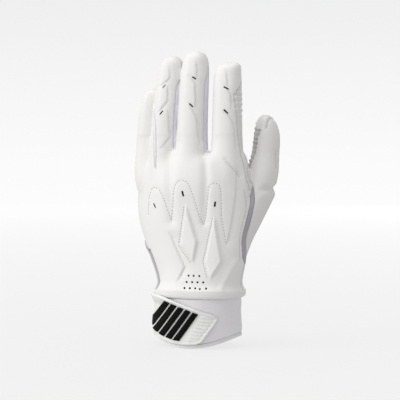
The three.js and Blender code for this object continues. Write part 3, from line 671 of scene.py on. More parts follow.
def cut(bm, field, where=None):
    """Splits the triangles along the line where the field is zero."""
    values = {v: field(v.co) for v in bm.verts if where is None or where(v.co)}
    for edge in [e for e in bm.edges if e.verts[0] in values and e.verts[1] in values]:
        a, b = edge.verts
        if values[a] * values[b] < 0:
            share = values[a] / (values[a] - values[b])
            near, place = (a, share) if share < 0.5 else (b, 1 - share)
            if place < SNAP:
                near.co = a.co.lerp(b.co, share)
                values[near] = 0.0
    on_line = [v for v, value in values.items() if value == 0]
    for edge in [e for e in bm.edges if e.verts[0] in values and e.verts[1] in values]:
        a, b = edge.verts
        if values[a] * values[b] < 0:
            on_line.append(bmesh.utils.edge_split(edge, a, values[a] / (values[a] - values[b]))[1])
    bmesh.ops.connect_verts(bm, verts=on_line)
    bmesh.ops.triangulate(bm, faces=[f for f in bm.faces if len(f.verts) > 3])


def on_hand(co):
    return thumb_seam(co) < THUMB_MARGIN


def on_thumb(co):
    return thumb_seam(co) > -THUMB_MARGIN


cut(skin, thumb_seam)
cut(skin, gusset_seam)
cut(skin, crease_seam)
cut(skin, back_seam, on_hand)
cut(skin, palm_seam, on_hand)
cut(skin, lambda co: gather_seams(co)[0], on_thumb)
cut(skin, lambda co: gather_seams(co)[1], on_thumb)
print("skin after cutting:", len(skin.faces), "triangles")

# %% Name the panel of each face
# Where two fingers touch, a field can leave small scraps of a panel alone: they join their neighbour.
PANELS = [
    "back_panel",
    "palm_panel",
    "fourchette_index_middle",
    "fourchette_middle_ring",
    "fourchette_ring_pinky",
    "index_side_panel",
    "pinky_gusset",
    "thumb_back",
    "thumb_palm",
    "thumb_side_strip",
    "thumb_gusset",
]


def panel_of(co):
    if thumb_seam(co) > 0:
        back, palm = gather_seams(co)
        return "thumb_back" if back < 0 else "thumb_palm" if palm > 0 else "thumb_side_strip"
    if gusset_seam(co) > 0:
        return "thumb_gusset"
    if crease_seam(co) > 0:
        return "fourchette_ring_pinky"
    if back_seam(co) < 0:
        return "back_panel"
    if palm_seam(co) > 0:
        return "palm_panel"
    if co.z < HAND_BOTTOM + PINKY_WEDGE and co.x < MIDDLE.x:
        return "pinky_gusset"
    if co.x > INDEX.x:
        return "index_side_panel"
    if co.x > MIDDLE.x:
        return "fourchette_index_middle"
    if co.x > RING.x:
        return "fourchette_middle_ring"
    return "fourchette_ring_pinky"


def islands_of(faces):
    """The connected groups of some faces."""
    left = set(faces)
    while left:
        island, edge = set(), [left.pop()]
        while edge:
            face = edge.pop()
            island.add(face)
            for near in {f for e in face.edges for f in e.link_faces} & left:
                left.remove(near)
                edge.append(near)
        yield island


for face in skin.faces:
    face.material_index = PANELS.index(panel_of(face.calc_center_median()))
for index in range(len(PANELS)):
    islands = sorted(islands_of(f for f in skin.faces if f.material_index == index), key=len)
    for scrap in islands[:-1]:
        border = [f for face in scrap for e in face.edges for f in e.link_faces if f not in scrap]
        for face in scrap:
            face.material_index = border[0].material_index
counts = [sum(f.material_index == i for f in skin.faces) for i in range(len(PANELS))]
print("faces of each panel:", dict(zip(PANELS, counts)))

# %% [markdown]
# ## Mouldings of the back
# The back is pressed in a heated mould: kite-shaped pads lie over the bones of the hand, stitched tongues
# run between them, and stepped plates protect the fingers. The shapes are drawn as lines of pixels of the
# photograph, turned to millimetres on the plane that faces the camera, and the skin is pressed along them.

# %% From the photograph's pixels to the glove
BACK_NEAR = 24.0
CENTRE_ACROSS = 2.1


def seen(px, py, near=BACK_NEAR):
    """The place on the turned plane that the camera sees at a pixel, at a nearness to the camera."""
    scale = MM_PER_PIXEL * (1 - near / DISTANCE)
    right, up = px - IMAGE_PIXELS / 2, IMAGE_PIXELS / 2 - py
    return Vector((CENTRE_ACROSS + right * scale, TARGET.z + up * scale + near * math.tan(RISE)))


def line_of(pixels, near=BACK_NEAR):
    return [seen(px, py, near) for px, py in pixels]


def to_line(point, line):
    """Distance to a line, negative on its left when it runs downwards."""
    best, side = 1e9, 1
    for a, b in zip(line, line[1:]):
        along = b - a
        t = clamp((point - a).dot(along) / along.length_squared)
        gap = point - a - along * t
        if gap.length < best:
            best = gap.length
            side = 1 if along.x * gap.y - along.y * gap.x > 0 else -1
    return best * side


def inside(point, outline):
    odd = False
    for a, b in zip(outline, outline[1:] + outline[:1]):
        crosses = (a.y > point.y) != (b.y > point.y)
        if crosses and point.x < a.x + (point.y - a.y) / (b.y - a.y) * (b.x - a.x):
            odd = not odd
    return odd


# %% Lines pressed into the back
# Steps: the leather on the left stands out, and drops to the right of the line. Depth, then reach in mm.
STEPS = [
    (1.0, 5.0, [(168, 67), (168.3, 76), (160.6, 82.5)]),
    (1.1, 5.0, [(166, 86), (166, 99), (164.4, 101), (158.3, 109)]),
    (1.1, 5.0, [(166.4, 111), (168.3, 136), (160.2, 146.6)]),
    (1.1, 5.5, [(195.5, 62), (196.3, 74)]),
    (1.2, 6.0, [(189, 77), (194, 82.5), (195, 105)]),
    (1.3, 6.0, [(190.5, 108), (195.5, 117), (198.4, 143)]),
    (1.0, 4.5, [(225.6, 72), (227, 84)]),
    (1.1, 5.0, [(226, 88), (230, 94.5), (230.6, 106)]),
    (1.3, 5.0, [(225.5, 114), (231.3, 120.6), (233.2, 126), (235, 147)]),
    (1.2, 6.0, [(236, 170), (235, 195), (231, 222), (226.5, 243)]),
    (1.5, 5.0, [(169, 236), (174, 247), (183.4, 267.5), (178, 279)]),
]
# The stitched tongues of the ring, middle and index finger, from left to right
RING_TONGUE = [(147, 216), (147.5, 200), (150, 190.5), (154, 188), (158.5, 190.5)]
RING_TONGUE += [(163, 198), (167, 210), (171, 221)]
MIDDLE_TONGUE = [(171, 221), (172.4, 208), (173, 195), (174.5, 186), (178, 181.5), (182.2, 180.3)]
MIDDLE_TONGUE += [(186.5, 182), (189.8, 187), (193.8, 198), (199, 215), (203.5, 225)]
INDEX_TONGUE = [(203.5, 225), (206.3, 213), (207.5, 200), (208.6, 188), (211.5, 184), (215.7, 183)]
INDEX_TONGUE += [(219.3, 185), (221, 190), (221.3, 205), (221.6, 218), (226, 243)]
TONGUES = [RING_TONGUE, MIDDLE_TONGUE, INDEX_TONGUE]
# Channels: stitched lines and soft valleys, and one ridge. Depth and half width in mm.
CHANNELS = [(0.3, 1.0, line) for line in TONGUES] + [
    (1.3, 4.0, [(169, 150), (168.5, 180), (171, 222)]),
    (1.5, 3.6, [(205, 160), (206, 180), (204.5, 222)]),
    (-0.8, 2.6, [(236, 262), (229, 274), (222, 287)]),
    (0.8, 1.0, [(225, 158.5), (232, 165), (241, 176)]),
]
# The seam that closes the tip of the thumb
THUMB_TIP = [(277.5, 120.5), (274.5, 117.8), (271, 117.6), (268.6, 120), (267.2, 123), (266.2, 128)]
THUMB_NEAR = 2.0
# Kites: the rise in mm, then the top, right, bottom and left corners
KITES = [
    (2.3, [(185.8, 201), (198.5, 242), (194, 264.5), (180.3, 246)]),
    (2.5, [(214.5, 212), (223, 262), (210.5, 281), (204.8, 262)]),
]

# %% Press the mouldings
KITE_RIGHT_SLOPE = 2.2
KITE_LEFT_SLOPE = 1.2
KITE_LEFT_HEIGHT = 0.35
STEP_SLOPE = 0.9
STEP_RUNS_ON = 4
STEP_FADES = 6
STEP_LEFT = 2
TIP_LINE_DEPTH = 0.8
TIP_LINE_WIDTH = 1.1
TIP_SHADE = 0.45
TIP_SHADE_WIDTH = 0.8
FACES_CAMERA = 0.1
FACES_FULLY = 0.35


def kite_height(point, rise, kite):
    """A wedge that rises from its left edges and drops at its right ones."""
    top, right, bottom, left = kite
    if not inside(point, kite):
        return 0.0
    from_right = abs(to_line(point, [top, right, bottom]))
    from_left = abs(to_line(point, [top, left, bottom]))
    slope = from_left / (from_left + from_right + 1e-6)
    edges = rise * ease(from_right / KITE_RIGHT_SLOPE) * ease(from_left / KITE_LEFT_SLOPE)
    return edges * mix(KITE_LEFT_HEIGHT, 1, slope)


def moulding(point):
    height = 0.0
    for depth, reach, line, (low, high) in pressed_steps:
        beside = low.x - STEP_LEFT < point.x < high.x + 4 * reach
        if beside and low.y - STEP_FADES < point.y < high.y + STEP_FADES:
            gap = to_line(point, line)
            bottom = clamp((point.y - low.y + STEP_RUNS_ON) / STEP_FADES)
            ends = bottom * clamp((high.y + STEP_RUNS_ON - point.y) / STEP_FADES)
            if gap > 0:
                height -= depth * ease(gap / STEP_SLOPE) * math.exp(-gap / reach) * ends
    for depth, reach, line, (low, high) in pressed_channels:
        margin = 3 * reach
        if low.x - margin < point.x < high.x + margin and low.y - margin < point.y < high.y + margin:
            height -= depth * hump(to_line(point, line), reach)
    for rise, kite in raised_kites:
        height += kite_height(point, rise, kite)
    return height


def with_box(entries):
    """Each line on the glove's plane, with the corners of the box round it."""
    result = []
    for depth, reach, pixels in entries:
        line = line_of(pixels)
        low = Vector((min(p.x for p in line), min(p.y for p in line)))
        high = Vector((max(p.x for p in line), max(p.y for p in line)))
        result.append((depth, reach, line, (low, high)))
    return result


pressed_steps = with_box(STEPS)
pressed_channels = with_box(CHANNELS)
raised_kites = [(rise, line_of(kite)) for rise, kite in KITES]
skin.normal_update()
moves = {}
thumb_tip = line_of(THUMB_TIP, THUMB_NEAR)
# The attribute seam holds painted shade, which the finishes mix in as their seam colour
painted_shade_layer = skin.verts.layers.float.new("seam")
for vert in skin.verts:
    facing = vert.normal.dot(TOWARDS)
    place = Vector((across_of(vert.co), vert.co.z))
    if facing > FACES_CAMERA and on_thumb(vert.co) and vert.co.z > HAND_TOP:
        gap = to_line(place, thumb_tip)
        moves[vert] = -vert.normal * TIP_LINE_DEPTH * hump(gap, TIP_LINE_WIDTH)
        # Painted shade along the groove of the tip seam
        vert[painted_shade_layer] = TIP_SHADE * hump(gap, TIP_SHADE_WIDTH)
    elif facing > FACES_CAMERA and vert.co.y < middle(vert.co.x, vert.co.z):
        height = moulding(place)
        if height:
            moves[vert] = vert.normal * height * ease(facing / FACES_FULLY)
for vert, move in moves.items():
    vert.co += move
print("moulded vertices:", len(moves))

# %% [markdown]
# ## Gathers and wrinkles
# Where a straight panel is sewn to a curved one the leather gathers: the strip on the side of the thumb is
# ruffled all along, and the side of the index finger at its joints. The thumb also has a deep wrinkle at
# its base joint, and the palm side has flex creases. All are ripples along the length of the finger.

# %% Gather the strips and crease the joints
RUFFLE_PITCH = 3.8
RUFFLE_RISE = 0.7
RUFFLE_SHADE = 0.4
JOINT_PITCH = 4.6
JOINT_RISE = 0.8
JOINT_LOW = 185
JOINT_TOP = 213
JOINT_FADES = 6
# Height of the wrinkle, its depth and width, and the rise, width and place of the fold under it
THUMB_WRINKLE = 130.0
WRINKLE_DEPTH, WRINKLE_WIDTH = 2.0, 2.4
WRINKLE_FOLD, FOLD_WIDTH, FOLD_BELOW = 0.8, 3.5, 6
WRINKLE_SIDE = 8
GUSSET_BULGE = 81.0
GUSSET_BULGE_RISE = 1.2
GUSSET_BULGE_WIDTH = 5
FLEX_SHARES = (0.06, 0.4, 0.68)
FLEX_DEPTH = 0.8
FLEX_WIDTH = 1.5
FLEX_UP = 8
FLEX_FROM = 4
# The ripples wander along the strip and differ in height, over these lengths in mm and by these amounts
WANDER, WANDER_BY = 9.0, 1.5
UNEVEN, LEAST, UNEVEN_BY = 5.0, 0.6, 0.8
UNEVEN_START = Vector((7, 3, 1))


def ruffle(co, pitch):
    """Uneven ripples across a strip, from -1 to 1."""
    wander = noise.noise(co / WANDER) * WANDER_BY
    size = LEAST + UNEVEN_BY * noise.noise(co / UNEVEN + UNEVEN_START)
    return math.sin(2 * math.pi * co.z / pitch + wander) * size


skin.normal_update()
for vert in skin.verts:
    names = {PANELS[f.material_index] for f in vert.link_faces}
    co = vert.co
    push = 0.0
    if "thumb_side_strip" in names:
        wave = ruffle(co, RUFFLE_PITCH)
        push += RUFFLE_RISE * wave
        # Painted shade in the valleys between the gathers
        vert[painted_shade_layer] = RUFFLE_SHADE * ease(-wave)
    if "index_side_panel" in names and JOINT_LOW < co.z < JOINT_TOP:
        fade = JOINT_RISE * ruffle(co, JOINT_PITCH) * ease((co.z - JOINT_LOW) / JOINT_FADES)
        push += fade * ease((JOINT_TOP - co.z) / JOINT_FADES)
    if names & {"thumb_back", "thumb_palm"}:
        centre = Vector((*thumb_centre(co.z), 0))
        side = ease((across_of(co) - across_of(centre)) / WRINKLE_SIDE)
        push -= WRINKLE_DEPTH * side * hump(co.z - THUMB_WRINKLE, WRINKLE_WIDTH)
        push += WRINKLE_FOLD * side * hump(co.z - THUMB_WRINKLE + FOLD_BELOW, FOLD_WIDTH)
    if "pinky_gusset" in names:
        push += GUSSET_BULGE_RISE * hump(co.z - GUSSET_BULGE, GUSSET_BULGE_WIDTH)
    if "palm_panel" in names and co.z > KNUCKLE_Z + FLEX_FROM:
        near = min(FINGERS, key=lambda f: abs(f.x - co.x))
        for share in FLEX_SHARES:
            push -= FLEX_DEPTH * hump(co.z - KNUCKLE_Z - share * near.length - FLEX_UP, FLEX_WIDTH)
    if push:
        vert.co = co + vert.normal * push

# %% [markdown]
# ## Vent holes
# Three rows of holes are punched above the wrist. The triangles round them are made finer, cut along small
# circles by the same function as the seams, and the discs are left out of every panel, so the holes go
# right through the wall.

# %% Punch the vent holes
VENT_RADIUS = 0.88
VENT_REACH = 2.2
VENT = len(PANELS)
VENTS = [
    (188.5, 276),
    (193.6, 276),
    (199.3, 276),
    (186.5, 282.2),
    (192.1, 282.2),
    (197.5, 282.2),
    (203.2, 282.2),
    (184.4, 288),
    (189.9, 288),
    (195.2, 288),
    (199.8, 288.5),
    (206, 288),
]
vents = line_of(VENTS)


def vent_field(co):
    point = Vector((across_of(co), co.z))
    return VENT_RADIUS - min((point - vent).length for vent in vents)


def near_vents(co):
    return co.z < vents[0].y + VENT_REACH and nearness(co) > 0 and vent_field(co) > -VENT_REACH


fine = [e for e in skin.edges if all(near_vents(v.co) for v in e.verts)]
bmesh.ops.subdivide_edges(skin, edges=fine, cuts=2)
bmesh.ops.triangulate(skin, faces=[f for f in skin.faces if len(f.verts) > 3])
cut(skin, vent_field, near_vents)
for face in skin.faces:
    if near_vents(face.calc_center_median()) and vent_field(face.calc_center_median()) > 0:
        face.material_index = VENT
print("faces punched out:", sum(f.material_index == VENT for f in skin.faces))

# %% [markdown]
# ## Sewn edges
# A seam pulls both edges of the leather inwards, and painted shade darkens it there. The vertices on a seam
# move in along their normals, their neighbours follow a little, and the attribute `seam` carries the painted
# shade to the material.

# %% Pull the seams in
# How far a seam is pulled in, in mm, and how much painted shade it gets: on the seam itself, then beside it
SEAM_PULLS = (0.55, 0.12)
SEAM_SHADES = (0.38, 0.08)
# The gusset of the little finger is tucked under the edge of the back, so painted shade darkens it there
TUCK_SHADE = 0.75
TUCK_REACH = 5.0
skin.normal_update()
sewn = {v for e in skin.edges if len({f.material_index for f in e.link_faces} - {VENT}) > 1 for v in e.verts}
beside = {w for v in sewn for e in v.link_edges for w in e.verts} - sewn
for verts, pull, shade in zip((sewn, beside), SEAM_PULLS, SEAM_SHADES):
    for vert in verts:
        vert.co -= vert.normal * pull
        vert[painted_shade_layer] = max(vert[painted_shade_layer], shade)
gusset_index = PANELS.index("pinky_gusset")
for vert in {v for f in skin.faces if f.material_index == gusset_index for v in f.verts}:
    shade = TUCK_SHADE * hump(back_seam(vert.co), TUCK_REACH)
    vert[painted_shade_layer] = max(vert[painted_shade_layer], shade)
print("seam vertices:", len(sewn), "and beside them", len(beside))


# %% Split the skin into its panels
def wall_of(bm, thickness):
    """Gives a sheet its thickness, inwards, with closed edges."""
    return with_modifiers(
        bm, ("SOLIDIFY", {"thickness": thickness, "offset": -1, "use_rim": True, "use_even_offset": False})
    )


def panel(index):
    """A copy of the skin with only the faces of one panel."""
    bm = skin.copy()
    bmesh.ops.delete(bm, geom=[f for f in bm.faces if f.material_index != index], context="FACES")
    for face in bm.faces:
        face.material_index = 0
    return bm


FINISHES = {
    "back_panel": ("back_leather", back_leather),
    "palm_panel": ("palm_leather", palm_leather),
    "fourchette_index_middle": ("stretch_knit", stretch_knit),
    "fourchette_middle_ring": ("stretch_knit", stretch_knit),
    "fourchette_ring_pinky": ("stretch_knit", stretch_knit),
    "index_side_panel": ("palm_leather", palm_leather),
    "pinky_gusset": ("stretch_knit", stretch_knit),
    "thumb_back": ("palm_leather", palm_leather),
    "thumb_palm": ("palm_leather", palm_leather),
    "thumb_side_strip": ("palm_leather", shaded_gathered_leather),
    "thumb_gusset": ("gusset_mesh", gusset_mesh),
}
for index, name in enumerate(PANELS):
    slot, material = FINISHES[name]
    finish(wall_of(panel(index), LEATHER), "skin_" + name, slot, material, [name])

# %% Painted shade behind the vent holes
# A thin, almost black sheet behind the holes is painted shade, which shows through them as black dots.
SHADE_SHEET_DEPTH = 0.9
SHADE_SHEET_THICKNESS = 0.5
bm = panel(VENT)
bm.normal_update()
for vert in bm.verts:
    vert.co -= vert.normal * SHADE_SHEET_DEPTH
finish(wall_of(bm, SHADE_SHEET_THICKNESS), "painted_shade_behind_vents", "back_leather", painted_vent_shade)

# %% [markdown]
# ## Thread
# The tongues, the kites and the seams by the thumb are sewn with white thread, and the ends of the mouldings
# are fixed by short black bar tacks. Each stitch is a small long bead laid on the skin where a ray from the
# camera's side meets it. The stitches are drawn a little longer and farther apart than the real ones, which
# would run together into a plain line at this size.

# %% Helpers for thread
RAY_START = 200
STITCH = 1.3
STITCH_WIDTH = 0.7
STITCH_RISE = 0.38
surface = BVHTree.FromBMesh(skin)


def on_skin(place):
    """The point and the normal of the skin that a ray from the front meets."""
    start = ACROSS * place.x + Vector((0, 0, place.y)) + OUTWARDS * RAY_START
    return surface.ray_cast(start, -OUTWARDS)[:2]


def bead(bm, start, end, width, rise):
    """One stitch: a small sphere stretched from start to end along the skin."""
    (a, normal), (b, _) = on_skin(start), on_skin(end)
    along = b - a
    side = normal.cross(along).normalized() * width / 2
    up = normal.normalized() * rise
    columns = Matrix((along / 2, side, up)).transposed().to_4x4()
    place = Matrix.Translation((a + b) / 2) @ columns
    bmesh.ops.create_icosphere(bm, subdivisions=2, radius=1, matrix=place)


def stitched(bm, line, pitch):
    """Stitches at an even pitch along a line of the turned plane."""
    run = 0.0
    for a, b in zip(line, line[1:]):
        along = (b - a).normalized()
        while run < (b - a).length - STITCH:
            bead(bm, a + along * run, a + along * (run + STITCH), STITCH_WIDTH, STITCH_RISE)
            run += pitch
        run = max(0.0, run - (b - a).length)


# %% White stitches
TONGUE_PITCH = 2.4
KITE_PITCH = 2.2
SEAM_PITCH = 2.0
GUSSET_STITCHES = [(243.5, 190), (246.3, 200), (246, 211), (243, 222)]
GUSSET_STITCHES += [(240.5, 232), (239.5, 244), (240, 262)]
KNUCKLE_STITCHES = [(225, 161.5), (232, 168), (241, 179)]
THUMB_STITCHES = [(274.8, 150), (275.5, 170)]
# Where the stitches beside a kite run, from its top, left and bottom corners
BESIDE_TOP = (-2, 6)
BESIDE_LEFT = (-2.2, 0)
BESIDE_BOTTOM = (-3, -1)
bm = bmesh.new()
for line in TONGUES:
    stitched(bm, line_of(line), TONGUE_PITCH)
for _, (top, right, bottom, left) in KITES:
    corners = ((top, BESIDE_TOP), (left, BESIDE_LEFT), (bottom, BESIDE_BOTTOM))
    beside_kite = [(corner[0] + shift[0], corner[1] + shift[1]) for corner, shift in corners]
    stitched(bm, line_of(beside_kite), KITE_PITCH)
for line in (GUSSET_STITCHES, KNUCKLE_STITCHES):
    stitched(bm, line_of(line), SEAM_PITCH)
stitched(bm, line_of(THUMB_STITCHES, THUMB_NEAR), KITE_PITCH)
finish(bm, "white_stitches", "back_leather", white_thread)

# %% Black bar tacks
# Ends of each tack, in pixels, and its width in mm
TACKS = [
    (161.9, 86.3, 164.6, 83.4, 0.5),
    (158.9, 113.5, 162, 109.9, 0.9),
    (192.4, 76, 195.7, 78.1, 1.0),
    (189.3, 103.1, 192.6, 106.2, 1.0),
    (224, 86.6, 228.2, 88.8, 1.0),
    (224, 109.6, 227.8, 113.2, 1.1),
    (182, 191.5, 183.3, 196.3, 1.3),
    (215.3, 201.9, 214.6, 206.5, 1.3),
    (152.8, 204.6, 154.6, 208.5, 0.8),
]
TACK_PITCH = 0.42
# A core along the tack, and threads wound across it: shares of the tack's width and pitch, and rises in mm
CORE_WIDTH, CORE_RISE = 1.1, 0.3
WOUND_HALF, WOUND_WIDTH, WOUND_RISE = 0.65, 1.2, 0.4
bm = bmesh.new()
for ax, ay, bx, by, width in TACKS:
    a, b = seen(ax, ay), seen(bx, by)
    along = (b - a).normalized()
    across = Vector((-along.y, along.x)) * width * WOUND_HALF
    steps = round((b - a).length / TACK_PITCH)
    bead(bm, a, b, width * CORE_WIDTH, CORE_RISE)
    for k in range(steps + 1):
        centre = a.lerp(b, k / steps)
        bead(bm, centre - across, centre + across, TACK_PITCH * WOUND_WIDTH, WOUND_RISE)
finish(bm, "black_bar_tacks", "bar_rubber", black_thread)
skin.free()

# %% [markdown]
# ## Cuff, wrist fold and hem
# The cuff is a tube of neoprene. It is lofted as one closed band, up the outside and down the inside, so
# it has its real wall. The fold above it is a soft rolled edge and the hem is bound with a flat tape.

# %% Sizes of the cuff, in mm
CUFF_WIDTH = 73.6
CUFF_SHIFT = 1.5
CUFF_DEPTH = 57.0
CUFF_TOP = 40.0
HEM_RISE = 8.5
HEM_BAND = 3.0
HEM_PROUD = 0.4
ROLL_HEIGHT = 6.0
ROLL_THICK = 5.2
ROLL_SHIFT = 1.3
NEOPRENE = 2.6
FOLD_MIDDLE = CUFF_TOP + SEAM + ROLL_HEIGHT / 2
CUFF_SECTIONS = [(0, 0.975), (0.12, 0.993), (0.3, 0.987), (0.65, 0.97), (1, 0.97)]
HOOP = around(180)


def hem_z(angle):
    return HEM_RISE * math.cos(angle) ** 2


def cuff_point(angle, at, out):
    wide = row_at(CUFF_SECTIONS, at)[0]
    x = CUFF_SHIFT + (CUFF_WIDTH / 2 * wide + out) * math.cos(angle)
    y = (CUFF_DEPTH / 2 * wide + out) * math.sin(angle)
    return Vector((x, y, mix(hem_z(angle) + HEM_BAND + SEAM, CUFF_TOP, at)))


def roll_point(angle, out, up):
    c, s = bulge(angle, HAND_POWER)
    place = Vector((ROLL_SHIFT + (WRIST_WIDTH / 2 + out) * c, (WRIST_DEPTH / 2 + out) * s, FOLD_MIDDLE + up))
    place.x += slimmed(place)
    return place


def band(rings, name, slot, material, node):
    """A finished closed band through its rings."""
    bm = bmesh.new()
    loft(bm, rings, closed=True)
    bmesh.ops.recalc_face_normals(bm, faces=bm.faces)
    return finish(bm, name, slot, material, [node])


# %% Cuff
DENT_ANGLE = math.radians(-16)
DENT_WIDTH = math.radians(17)
DENT_DEPTH = 1.7
# How much finer than the tube the two soft waves of the cloth are, and their heights in mm
WAVES = ((1.4, 0.5), (3.1, 0.25))
WAVE_ROUND, WAVE_UP = 2, 1.6
DENT_ENDS = 6
OUTSIDE_STEPS = 32
INSIDE_STEPS = 8


def cuff_dents(angle, at):
    """Soft dents where the tube is held by the strap and eases round the wrist."""
    co = Vector((math.cos(angle) * WAVE_ROUND, math.sin(angle) * WAVE_ROUND, at * WAVE_UP))
    turned = (angle - DENT_ANGLE + math.pi) % (2 * math.pi) - math.pi
    dent = DENT_DEPTH * hump(turned, DENT_WIDTH)
    waves = sum(height * noise.noise(co * scale) for scale, height in WAVES)
    return (waves - dent) * ease(at * DENT_ENDS) * ease((1 - at) * DENT_ENDS)


rings = []
for k in range(OUTSIDE_STEPS + 1):
    at = k / OUTSIDE_STEPS
    rings.append([cuff_point(a, at, cuff_dents(a, at)) for a in HOOP])
for k in range(INSIDE_STEPS + 1):
    rings.append([cuff_point(a, 1 - k / INSIDE_STEPS, -NEOPRENE) for a in HOOP])
band(rings, "cuff_neoprene", "cuff_neoprene", neoprene, "cuff")

# %% Hem binding
# Outwards and upwards from the lower edge of the cuff, with a sewn groove two thirds of the way up
HEM_PROFILE = [
    (HEM_PROUD - 0.5, 0),
    (HEM_PROUD - 0.1, 0.2),
    (HEM_PROUD, 0.7),
    (HEM_PROUD, 1.9),
    (HEM_PROUD - 0.35, 2.1),
    (HEM_PROUD, 2.3),
    (HEM_PROUD - 0.05, HEM_BAND - 0.25),
    (0, HEM_BAND),
    (-NEOPRENE, HEM_BAND),
    (-NEOPRENE - HEM_PROUD, HEM_BAND - 0.4),
    (-NEOPRENE - HEM_PROUD, 0.5),
    (-NEOPRENE, 0),
]
rings = []
for out, up in HEM_PROFILE:
    rings.append([cuff_point(a, 0, out) + Vector((0, 0, up - HEM_BAND - SEAM)) for a in HOOP])
band(rings, "hem_tape_binding", "hem_tape", hem_tape, "hem_binding")

# %% Wrist fold
# The section is nearly square on top, where the leather of the hand is sewn to it, and round below
FOLD_TOP_POWER = 14
rings = []
half = ROLL_THICK / 2
for turn in around(24):
    c, s = bulge(turn, FOLD_TOP_POWER if math.sin(turn) > 0 else 2)
    rings.append([roll_point(a, half - LEATHER + half * c, ROLL_HEIGHT / 2 * s) for a in HOOP])
wrist_fold = band(rings, "wrist_fold", "back_leather", back_leather, "wrist_roll")

# %% [markdown]
# ## Strap
# The closure strap is moulded rubber that wraps the cuff. A fine sheet is laid on what the strap rests on,
# cut to the strap's outline in the same way as the skin, and raised to its thickness, with a rounded rim
# along its edge, thin ribs at its free end and plain slanted bars in black on top.

# %% Strap outlines, on the turned plane
STRAP_OUTLINE = [
    (-44, 43.6),
    (-44, 12),
    (-38, 10.5),
    (-30, 6.6),
    (-20.6, 3.8),
    (-11, 2.8),
    (-1, 3.3),
    (3.4, 5.2),
    (6.4, 9.4),
    (14.2, 20.4),
    (15.6, 23),
    (15.6, 25.2),
    (14.2, 27),
    (11.4, 28.3),
    (5.4, 29.8),
    (-6.3, 34),
    (-19, 38.4),
    (-27, 41.4),
    (-33, 42.8),
]
STRAP_BACK = [(-44, 12), (-8, 12), (-6, 16), (-6, 34), (-8, 38), (-30, 42.4), (-44, 43.6)]
RIB_FIELD = [(-9, 6.2), (0, 6.4), (12.6, 22.5), (12, 25.6), (3.5, 28)]
# The strap turns to the back of the wrist this far behind the turned plane
STRAP_TURNS = -3
STRAP_THICK = 1.8
STRAP_RIM = 2.4
STRAP_EDGE = 0.7
RIM_RISE = 0.9
RIM_SLOPE = 0.8
RIB_PITCH = 3.0
RIB_RISE = 0.9
RIB_SLANT = 6
BAR_COUNT = 5
BAR_RISE = 1.0
BAR_EDGE = 0.45
BAR_SLOPE = 0.6
BAR_FIRST = -4.6
BAR_PITCH = 7.2
BAR_WIDTH = 5.6
BAR_SLANT = 0.7
BAR_MIDDLE = 21.0
STRAP_LIFTS = 34.0


def outline_of(points):
    return [Vector(p) for p in points]


front_outline = outline_of(STRAP_OUTLINE)
back_outline = outline_of(STRAP_BACK)
rib_field = outline_of(RIB_FIELD)


def depth_in(point, outline):
    """Distance to an outline, positive inside it."""
    gap = abs(to_line(point, outline + outline[:1]))
    return gap if inside(point, outline) else -gap


def strap_field(co):
    point = Vector((across_of(co), co.z))
    return depth_in(point, front_outline if nearness(co) > STRAP_TURNS else back_outline)


# %% The ground that the strap rests on
# The sheet runs between these angles and heights, wide enough for every outline that is cut from it
DRAPE_FROM = math.radians(60)
DRAPE_TO = math.radians(320)
DRAPE_COLUMNS = 80
DRAPE_LOW = 0.5
# Half axes of the oval whose rays give the way outwards
STRAP_OVAL = (38, 28)


def ground(angle, z, grow):
    """The cuff, and above it the fold, grown by a clearance."""
    low = hem_z(angle) + HEM_BAND + SEAM
    on_cuff = cuff_point(angle, clamp((z - low) / (CUFF_TOP - low)), HEM_PROUD + grow)
    on_roll = roll_point(angle, ROLL_THICK - LEATHER + grow, 0)
    place = on_cuff.lerp(on_roll, ease((z - STRAP_LIFTS) / (CUFF_TOP - STRAP_LIFTS)))
    return Vector((place.x, place.y, z))


def draped(step, grow, high_z):
    """A fine sheet on the ground, from the free end round the little-finger side to the palm."""
    bm = bmesh.new()
    columns, rows = int(DRAPE_COLUMNS / step), int((high_z - DRAPE_LOW) / step)
    made = bmesh.ops.create_grid(bm, x_segments=columns, y_segments=rows, size=0.5)["verts"]
    for vert in made:
        angle = mix(DRAPE_FROM, DRAPE_TO, vert.co.x + 0.5)
        vert.co = ground(angle, mix(DRAPE_LOW, high_z, vert.co.y + 0.5), grow)
    bmesh.ops.recalc_face_normals(bm, faces=bm.faces)
    if bm.faces[0].normal.dot(bm.faces[0].calc_center_median()) < 0:
        bmesh.ops.reverse_faces(bm, faces=bm.faces)
    bmesh.ops.triangulate(bm, faces=bm.faces)
    return bm


def trimmed(bm, field):
    """The part of a sheet where the field is positive."""
    cut(bm, field)
    outside = [f for f in bm.faces if field(f.calc_center_median()) < 0]
    bmesh.ops.delete(bm, geom=outside, context="FACES")
    return bm


def raised(bm, height):
    """Extrudes a sheet outwards to a height that may differ from place to place."""
    bm.normal_update()
    top = bmesh.ops.extrude_face_region(bm, geom=bm.faces[:])["geom"]
    for vert in [v for v in top if isinstance(v, bmesh.types.BMVert)]:
        outwards = Vector((vert.co.x / STRAP_OVAL[0], vert.co.y / STRAP_OVAL[1], 0)).normalized()
        vert.co += outwards * height(vert.co)
    bmesh.ops.recalc_face_normals(bm, faces=bm.faces)
    return bm


# %% Strap
STRAP_STEP = 0.55
STRAP_SHEET_TOP = 50


def strap_height(co):
    point = Vector((across_of(co), co.z))
    edge = max(strap_field(co), 0)
    height = STRAP_THICK - STRAP_EDGE * (1 - ease(edge / STRAP_EDGE))
    height += RIM_RISE * ease(edge / RIM_SLOPE) * (1 - ease((edge - STRAP_RIM + STRAP_EDGE) / RIM_SLOPE))
    if nearness(co) > 0 and inside(point, rib_field):
        wave = 0.5 + 0.5 * math.cos(2 * math.pi * (point.y + point.x / RIB_SLANT) / RIB_PITCH)
        height += RIB_RISE * wave**3 * ease(depth_in(point, rib_field) / RIM_SLOPE)
    return height


